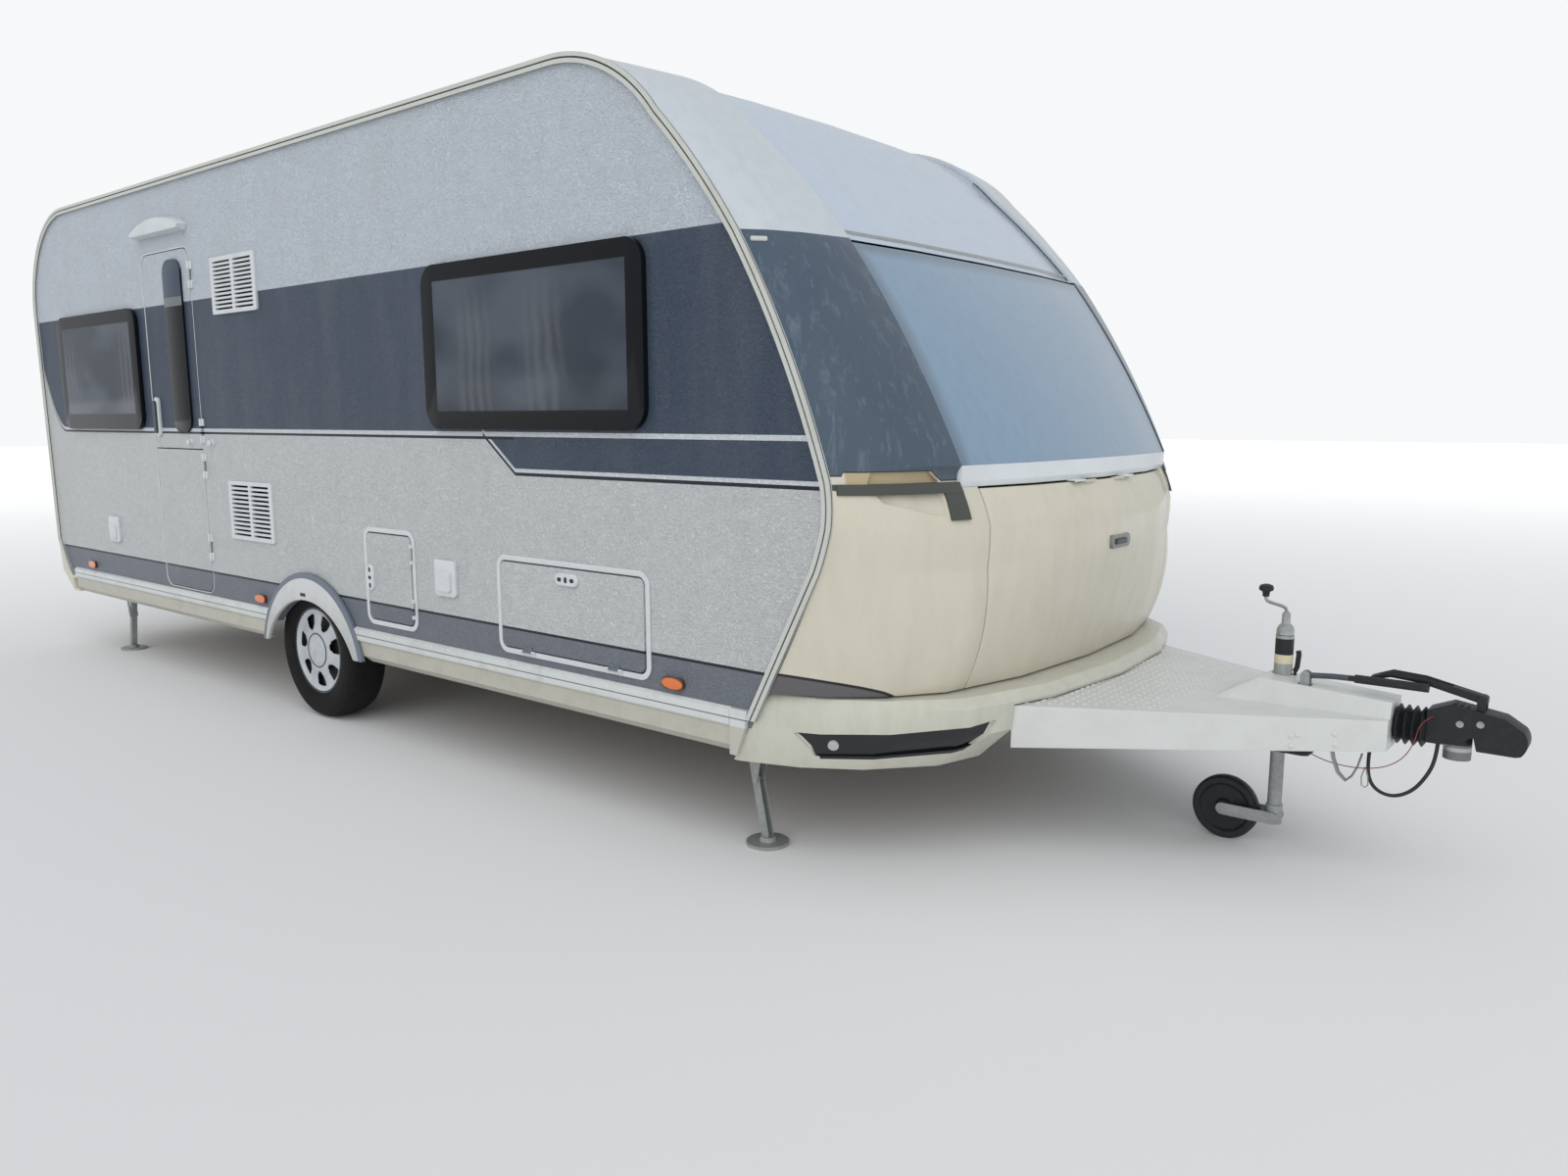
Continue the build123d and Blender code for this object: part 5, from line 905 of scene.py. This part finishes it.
# Lamps: orange side markers with a bright oval lens, red tail clusters with an orange end and a
# clear inner part, and clear lamps in the front recesses. Their lenses are ribbed.
marker_first, marker_middle, marker_last = -3.305, -1.212, 1.609
marker_half, marker_z, marker_high = 0.047, 0.543, 0.0185
tail_front, tail_red_in, tail_red_out = -3.6, 0.85, 1.00
recess_from, recess_top = 1.2, 0.47
rib_pitch = 0.008
lens = Finish("lamp_lens", rough=0.15, coat=0.8)
x, width, z = lens.x, abs(lens.y), lens.z
nearest = abs(x - marker_first) & abs(x - marker_middle) & abs(x - marker_last)
across_oval, up_oval = nearest / marker_half, (z - marker_z) / marker_high
oval = (across_oval * across_oval + up_oval * up_oval) < 1.0
tail = 1 - x.step(tail_front, 0.01)
colour = oval.mix(srgb(92, 48, 26), srgb(222, 112, 34))
colour = tail.mix(colour, srgb(158, 22, 20))
colour = (tail * width.step(tail_red_out, 0.002)).mix(colour, srgb(206, 112, 40))
colour = (tail * (1 - width.step(tail_red_in, 0.002))).mix(colour, srgb(196, 198, 198))
colour = (x.step(recess_from, 0.01) * (1 - z.step(recess_top, 0.01))).mix(colour, srgb(176, 180, 182))
lens.vary("Base Color", colour)
lens.press(abs((z / rib_pitch).maths("FRACT") - 0.5), 0.0012, 0.6)
lens.dress("lamps")
round_edges(0.004, "lamps")

# Bright strip over the front pane: a thin metal bead in the joint between the pane and the brow,
# which follows the brow's curve.
strip_half, strip_z, strip_steps = 0.79, 1.990, 40
off_front = 4.0  # where rays towards the front start
strip = Pile()
strip_points = []
for k in range(strip_steps + 1):
    strip_y = strip_half * (2 * k / strip_steps - 1)
    spot, facing = touch("front_roof", (off_front, strip_y, strip_z), (-1, 0, 0))
    strip_points.append(spot + facing * 0.001)
strip.rod(strip_points, 0.0065, sides=8)
strip.done("pane_strip", bright, "caravan", "galvanised")

# Brow joints: black sealing cords of round rubber where the brow meets the cheeks, pressed into
# the gap from above.
joint_y, joint_from, joint_long, joint_steps = 0.792, 2.40, 0.46, 24
joints = Pile()
for side in (-1, 1):
    seam_points = []
    for k in range(joint_steps + 1):
        seam_x = axle_x + joint_from + joint_long * k / joint_steps
        spot, facing = touch("front_roof", (seam_x, side * joint_y, 3.2), (0, 0, -1))
        seam_points.append(spot + facing * 0.0005)
    joints.rod(seam_points, 0.0028, sides=6)
joints.done("brow_joints", black, "caravan", "black_plastic")

# Pillar lamps: small clear position lamps with soft corners, screwed to the pillars' tops under
# the brow.
small_lamp_y, small_lamp_z = 1.118, 1.936
clear_lens = Finish("clear_lens", rough=0.15, coat=0.8)
clear_lens.vary("Base Color", clear_lens.place.noise(120).mix(srgb(170, 174, 172), srgb(214, 216, 212)))
small_lamps = Pile()
for side in (-1, 1):
    spot, facing = touch("front_pillars", (off_front, side * small_lamp_y, small_lamp_z), (-1, 0, 0))
    small_lamps.stack(spot - facing * 0.002, facing, upright, raised(0.052, 0.016, 0.006, 0.009, 0.003))
small_lamps.done("pillar_lamps", clear_lens, "caravan", "lamp")

# Tyres: road tyres with grooved tread and a rim guard, each revolved from its real section.
# The section's points are the distance outwards from the tyre's middle and the radius.
tyre_radius, tyre_half, tyre_face = 0.325, 0.0975, 1.105
tyre_middle = tyre_face - tyre_half
tyre_shoulder = ((0.081, 0.2065), (0.088, 0.222), (0.094, 0.245), (0.0972, 0.268), (0.093, 0.292),
                 (0.083, 0.310), (0.066, 0.3195), (0.030, 0.3245))
tyre_section = [(-out, r) for out, r in tyre_shoulder] + list(tyre_shoulder[::-1])


def turn_profile(name, section, centre, finish, steps=64):
    """A mesh revolved about a wheel's axis, from points of distance outwards and radius."""
    form = bmesh.new()
    rings = []
    for step in range(steps):
        angle = 2 * math.pi * step / steps
        rings.append([
            form.verts.new((centre[0] + r * math.cos(angle), centre[1] + out, centre[2] + r * math.sin(angle)))
            for out, r in section
        ])
    for ring, following in zip(rings, rings[1:] + rings[:1]):
        for k in range(len(section)):
            after = (k + 1) % len(section)
            form.faces.new((ring[k], ring[after], following[after], following[k]))
    bmesh.ops.recalc_face_normals(form, faces=form.faces)
    mesh = bpy.data.meshes.new(name)
    form.to_mesh(mesh)
    form.free()
    mesh.materials.append(finish.material)
    made = bpy.data.objects.new(name, mesh)
    bpy.context.scene.collection.objects.link(made)
    smooth(made)
    return made


groove_y, groove_half = 0.028, 0.005
tread_from, wall_rings_to = 0.312, 0.29
blocks_round = 34
tread = Finish("tyre_rubber", rough=0.75, specular=0.3)
dx, dz = tread.x - axle_x, tread.z - tyre_radius
radius = (dx * dx + dz * dz).maths("SQRT")
dust = tread.place.noise(30, 5, 0.7)
tread.vary("Base Color", ((dust - 0.4) * 0.7).mix(srgb(17, 17, 18), srgb(50, 46, 43)))
off_middle = abs(abs(tread.y) - tyre_middle)
grooves = 1 - (abs(off_middle - groove_y) < groove_half)
blocks = (dz.maths("ARCTAN2", dx) * blocks_round + off_middle * 60).maths("SINE") > -0.75
wall_rings = ((radius * 700).maths("SINE") * 0.15 + 0.5) * (radius < wall_rings_to)
tread.press(grooves * blocks * radius.step(tread_from, 0.004) + wall_rings, 0.006, 0.8)
for side, hand in ((-1, "right"), (1, "left")):
    tyre = turn_profile("road_tyre_" + hand, tyre_section, (axle_x, side * tyre_middle, tyre_radius), tread)
    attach(tyre, "wheel_" + hand)
    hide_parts("tyre_" + hand)

# Wheel barrels: dark steel wheels behind the trims, revolved from the section of rim and disc.
# The section's points are y and radius.
steel = Finish("wheel_steel", rough=0.5, metal=0.5)
steel.vary("Base Color", steel.place.noise(30).mix(srgb(46, 48, 50), srgb(74, 74, 74)))
inner_y = tyre_face - 2 * tyre_half
barrel_section = (
    (tyre_face - 0.0165, 0.2060), (tyre_face - 0.0165, 0.1970), (tyre_face - 0.034, 0.1870),
    (tyre_face - 0.054, 0.1850), (tyre_face - 0.054, 0.0300), (tyre_face - 0.061, 0.0300),
    (tyre_face - 0.061, 0.1860), (inner_y + 0.034, 0.1870), (inner_y + 0.0165, 0.1970),
    (inner_y + 0.0165, 0.2060), (inner_y + 0.034, 0.1930), (tyre_face - 0.034, 0.1930),
    (tyre_face - 0.024, 0.2060),
)
for side, hand in ((-1, "right"), (1, "left")):
    section = [(side * out, r) for out, r in barrel_section]
    barrel = turn_profile("wheel_barrel_" + hand, section, (axle_x, 0, tyre_radius), steel, 56)
    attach(barrel, "wheel_" + hand)
    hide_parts("rim_" + hand)

# Wheel trims: silver lacquered plastic, clipped into the rim. Each is a dished disc of rings and
# cells whose seven spokes stand proud of the openings between them.
spokes, cells = 7, 10
trim_thick = 0.006
# Each ring's radius and its distance behind the tyre's face
trim_rings = (
    (0.012, 0.0085), (0.040, 0.0090), (0.072, 0.0105), (0.078, 0.0150), (0.083, 0.0150),
    (0.092, 0.0140), (0.106, 0.0165), (0.122, 0.0195), (0.142, 0.0225), (0.160, 0.0250),
    (0.173, 0.0260), (0.184, 0.0240), (0.194, 0.0180), (0.2045, 0.0150),
)
open_cells = {6: (3, 4, 5), 7: (2, 3, 4, 5, 6), 8: (2, 3, 4, 5, 6), 9: (2, 3, 4, 5, 6)}  # by ring
ridge_high, ridge_from, ridge_to = 0.003, 0.09, 0.18
silver = Finish("rim_silver", rough=0.32, metal=0.2, coat=0.3)
dust = silver.place.noise(18, 5, 0.7)
silver.vary("Base Color", ((dust - 0.45) * 0.9).mix(srgb(192, 196, 201), srgb(128, 124, 118)))
silver.vary("Roughness", 0.28 + dust * 0.25)
for side, hand in ((-1, "right"), (1, "left")):
    form = bmesh.new()
    loops = []
    for radius, back in trim_rings:
        loop = []
        for k in range(spokes * cells):
            turn = 2 * math.pi * (k + 0.5) / (spokes * cells) + math.pi / 2
            ridge = 0.0
            if ridge_from < radius < ridge_to:
                ridge = ridge_high * (1 - abs((k + 0.5) % cells / cells - 0.5) * 2)
            loop.append(form.verts.new((
                axle_x + radius * math.cos(turn), side * (tyre_face - back - ridge),
                tyre_radius + radius * math.sin(turn),
            )))
        loops.append(loop)
    for ring, (loop, following) in enumerate(zip(loops, loops[1:])):
        for k in range(spokes * cells):
            if k % cells not in open_cells.get(ring, ()):
                near = (k + 1) % (spokes * cells)
                form.faces.new((loop[k], loop[near], following[near], following[k]))
    form.faces.new(loops[0])
    bmesh.ops.recalc_face_normals(form, faces=form.faces)
    if sum(face.normal.y * side for face in form.faces) < 0:
        bmesh.ops.reverse_faces(form, faces=form.faces)
    mesh = bpy.data.meshes.new("wheel_trim_" + hand)
    form.to_mesh(mesh)
    form.free()
    mesh.materials.append(silver.material)
    trim = bpy.data.objects.new("wheel_trim_" + hand, mesh)
    bpy.context.scene.collection.objects.link(trim)
    thick = trim.modifiers.new("thick", "SOLIDIFY")
    thick.thickness = trim_thick
    thick.offset = -1
    soft = trim.modifiers.new("soft", "SUBSURF")
    soft.levels = soft.render_levels = 1
    smooth(trim)
    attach(trim, "wheel_" + hand)
    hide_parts("rim_" + hand)

# Cap rings: a grey plastic bead round each wheel's centre cap, where the cap is pressed into the
# trim.
cap_radius, cap_back, cap_steps = 0.0805, 0.0150, 40
cap_grey = Finish("wheel_cap_ring", rough=0.4)
cap_grey.vary("Base Color", cap_grey.place.noise(60).mix(srgb(58, 62, 68), srgb(84, 88, 94)))
for side, hand in ((-1, "right"), (1, "left")):
    turns = [2 * math.pi * k / cap_steps for k in range(cap_steps + 1)]
    cap_ring = Pile()
    cap_ring.rod([
        (axle_x + cap_radius * math.cos(turn), side * (tyre_face - cap_back),
         tyre_radius + cap_radius * math.sin(turn))
        for turn in turns
    ], 0.0035, sides=6)
    cap_ring.done("wheel_cap_ring_" + hand, cap_grey, "wheel_" + hand, "rim_silver")

# Studio floor: one plain pale sheet. Further out it glows more and more, so that it runs into
# the backdrop without a dark horizon.
floor_half, glow_from, glow_to, glow = 60, 4.0, 20.0, (0.34, 0.34, 0.34)
floor_form = bmesh.new()
bmesh.ops.create_grid(floor_form, x_segments=1, y_segments=1, size=floor_half)
floor_mesh = bpy.data.meshes.new("studio_floor")
floor_form.to_mesh(floor_mesh)
floor_form.free()
studio_floor = bpy.data.objects.new("studio_floor", floor_mesh)
bpy.context.scene.collection.objects.link(studio_floor)
floor_paint = Finish("studio_floor", rough=0.9, specular=0.1)
floor_paint.shader.inputs["Base Color"].default_value = (0.80, 0.80, 0.80, 1)
floor_paint.shader.inputs["Emission Strength"].default_value = 1.0
x, y = floor_paint.x, floor_paint.y
far = (x * x + y * y).maths("SQRT").ramp(glow_from, glow_to)
floor_paint.vary("Emission Color", far.mix((0.0, 0.0, 0.0), glow))
floor_mesh.materials.append(floor_paint.material)

# Backdrop and light: even pale light from all round, a nearly white backdrop for the camera and
# through glass, and one broad soft lamp over the right front.
world = bpy.data.worlds.new("studio")
bpy.context.scene.world = world
world.use_nodes = True
tree = world.node_tree
tree.nodes.clear()
path = tree.nodes.new("ShaderNodeLightPath")
seen = Shade(tree, path.outputs["Is Camera Ray"]) | Shade(tree, path.outputs["Is Transmission Ray"])
plain = seen.node("ShaderNodeBackground", {"Color": (0.84, 0.87, 0.90), "Strength": 0.72})
white = seen.node("ShaderNodeBackground", {"Color": (0.93, 0.94, 0.95), "Strength": 1.0})
sky = seen.node("ShaderNodeMixShader", {0: seen, 1: plain, 2: white})
output = tree.nodes.new("ShaderNodeOutputWorld")
tree.links.new(sky.socket, output.inputs["Surface"])

lamp = bpy.data.lights.new("soft_key", "SUN")
lamp.angle = math.radians(75)
lamp.energy = 1.35
lamp_at, lit_point = Vector((4.5, -7.5, 7.5)), Vector((0, 0, 0.8))
soft_key = bpy.data.objects.new("soft_key", lamp)
soft_key.location = lamp_at
soft_key.rotation_euler = (lit_point - lamp_at).to_track_quat("-Z", "Y").to_euler()
bpy.context.scene.collection.objects.link(soft_key)
soft_key.visible_glossy = False

# Camera: stands off the right front corner at eye height, looking back along the right side. Its
# place, turn and lens were fitted to the photograph.
eye = Vector((4.212, -3.752, 1.420))
turned_left, tipped, rolled = math.radians(39.345), math.radians(8.685), math.radians(-0.163)
ahead = Vector((
    -math.sin(turned_left) * math.cos(tipped), math.cos(turned_left) * math.cos(tipped), -math.sin(tipped),
))
across = Vector((math.cos(turned_left), math.sin(turned_left), 0))
upwards = across.cross(ahead)
level_right = math.cos(rolled) * across + math.sin(rolled) * upwards
level_up = math.cos(rolled) * upwards - math.sin(rolled) * across
camera = bpy.data.objects.new("camera", bpy.data.cameras.new("camera"))
camera.data.sensor_width = 36
camera.data.lens = 25.974
camera.data.clip_end = 200
camera.matrix_world = Matrix((
    (level_right.x, level_up.x, -ahead.x, eye.x),
    (level_right.y, level_up.y, -ahead.y, eye.y),
    (level_right.z, level_up.z, -ahead.z, eye.z),
    (0, 0, 0, 1),
))
bpy.context.scene.collection.objects.link(camera)
bpy.context.scene.camera = camera

bpy.context.scene.view_settings.view_transform = "Standard"
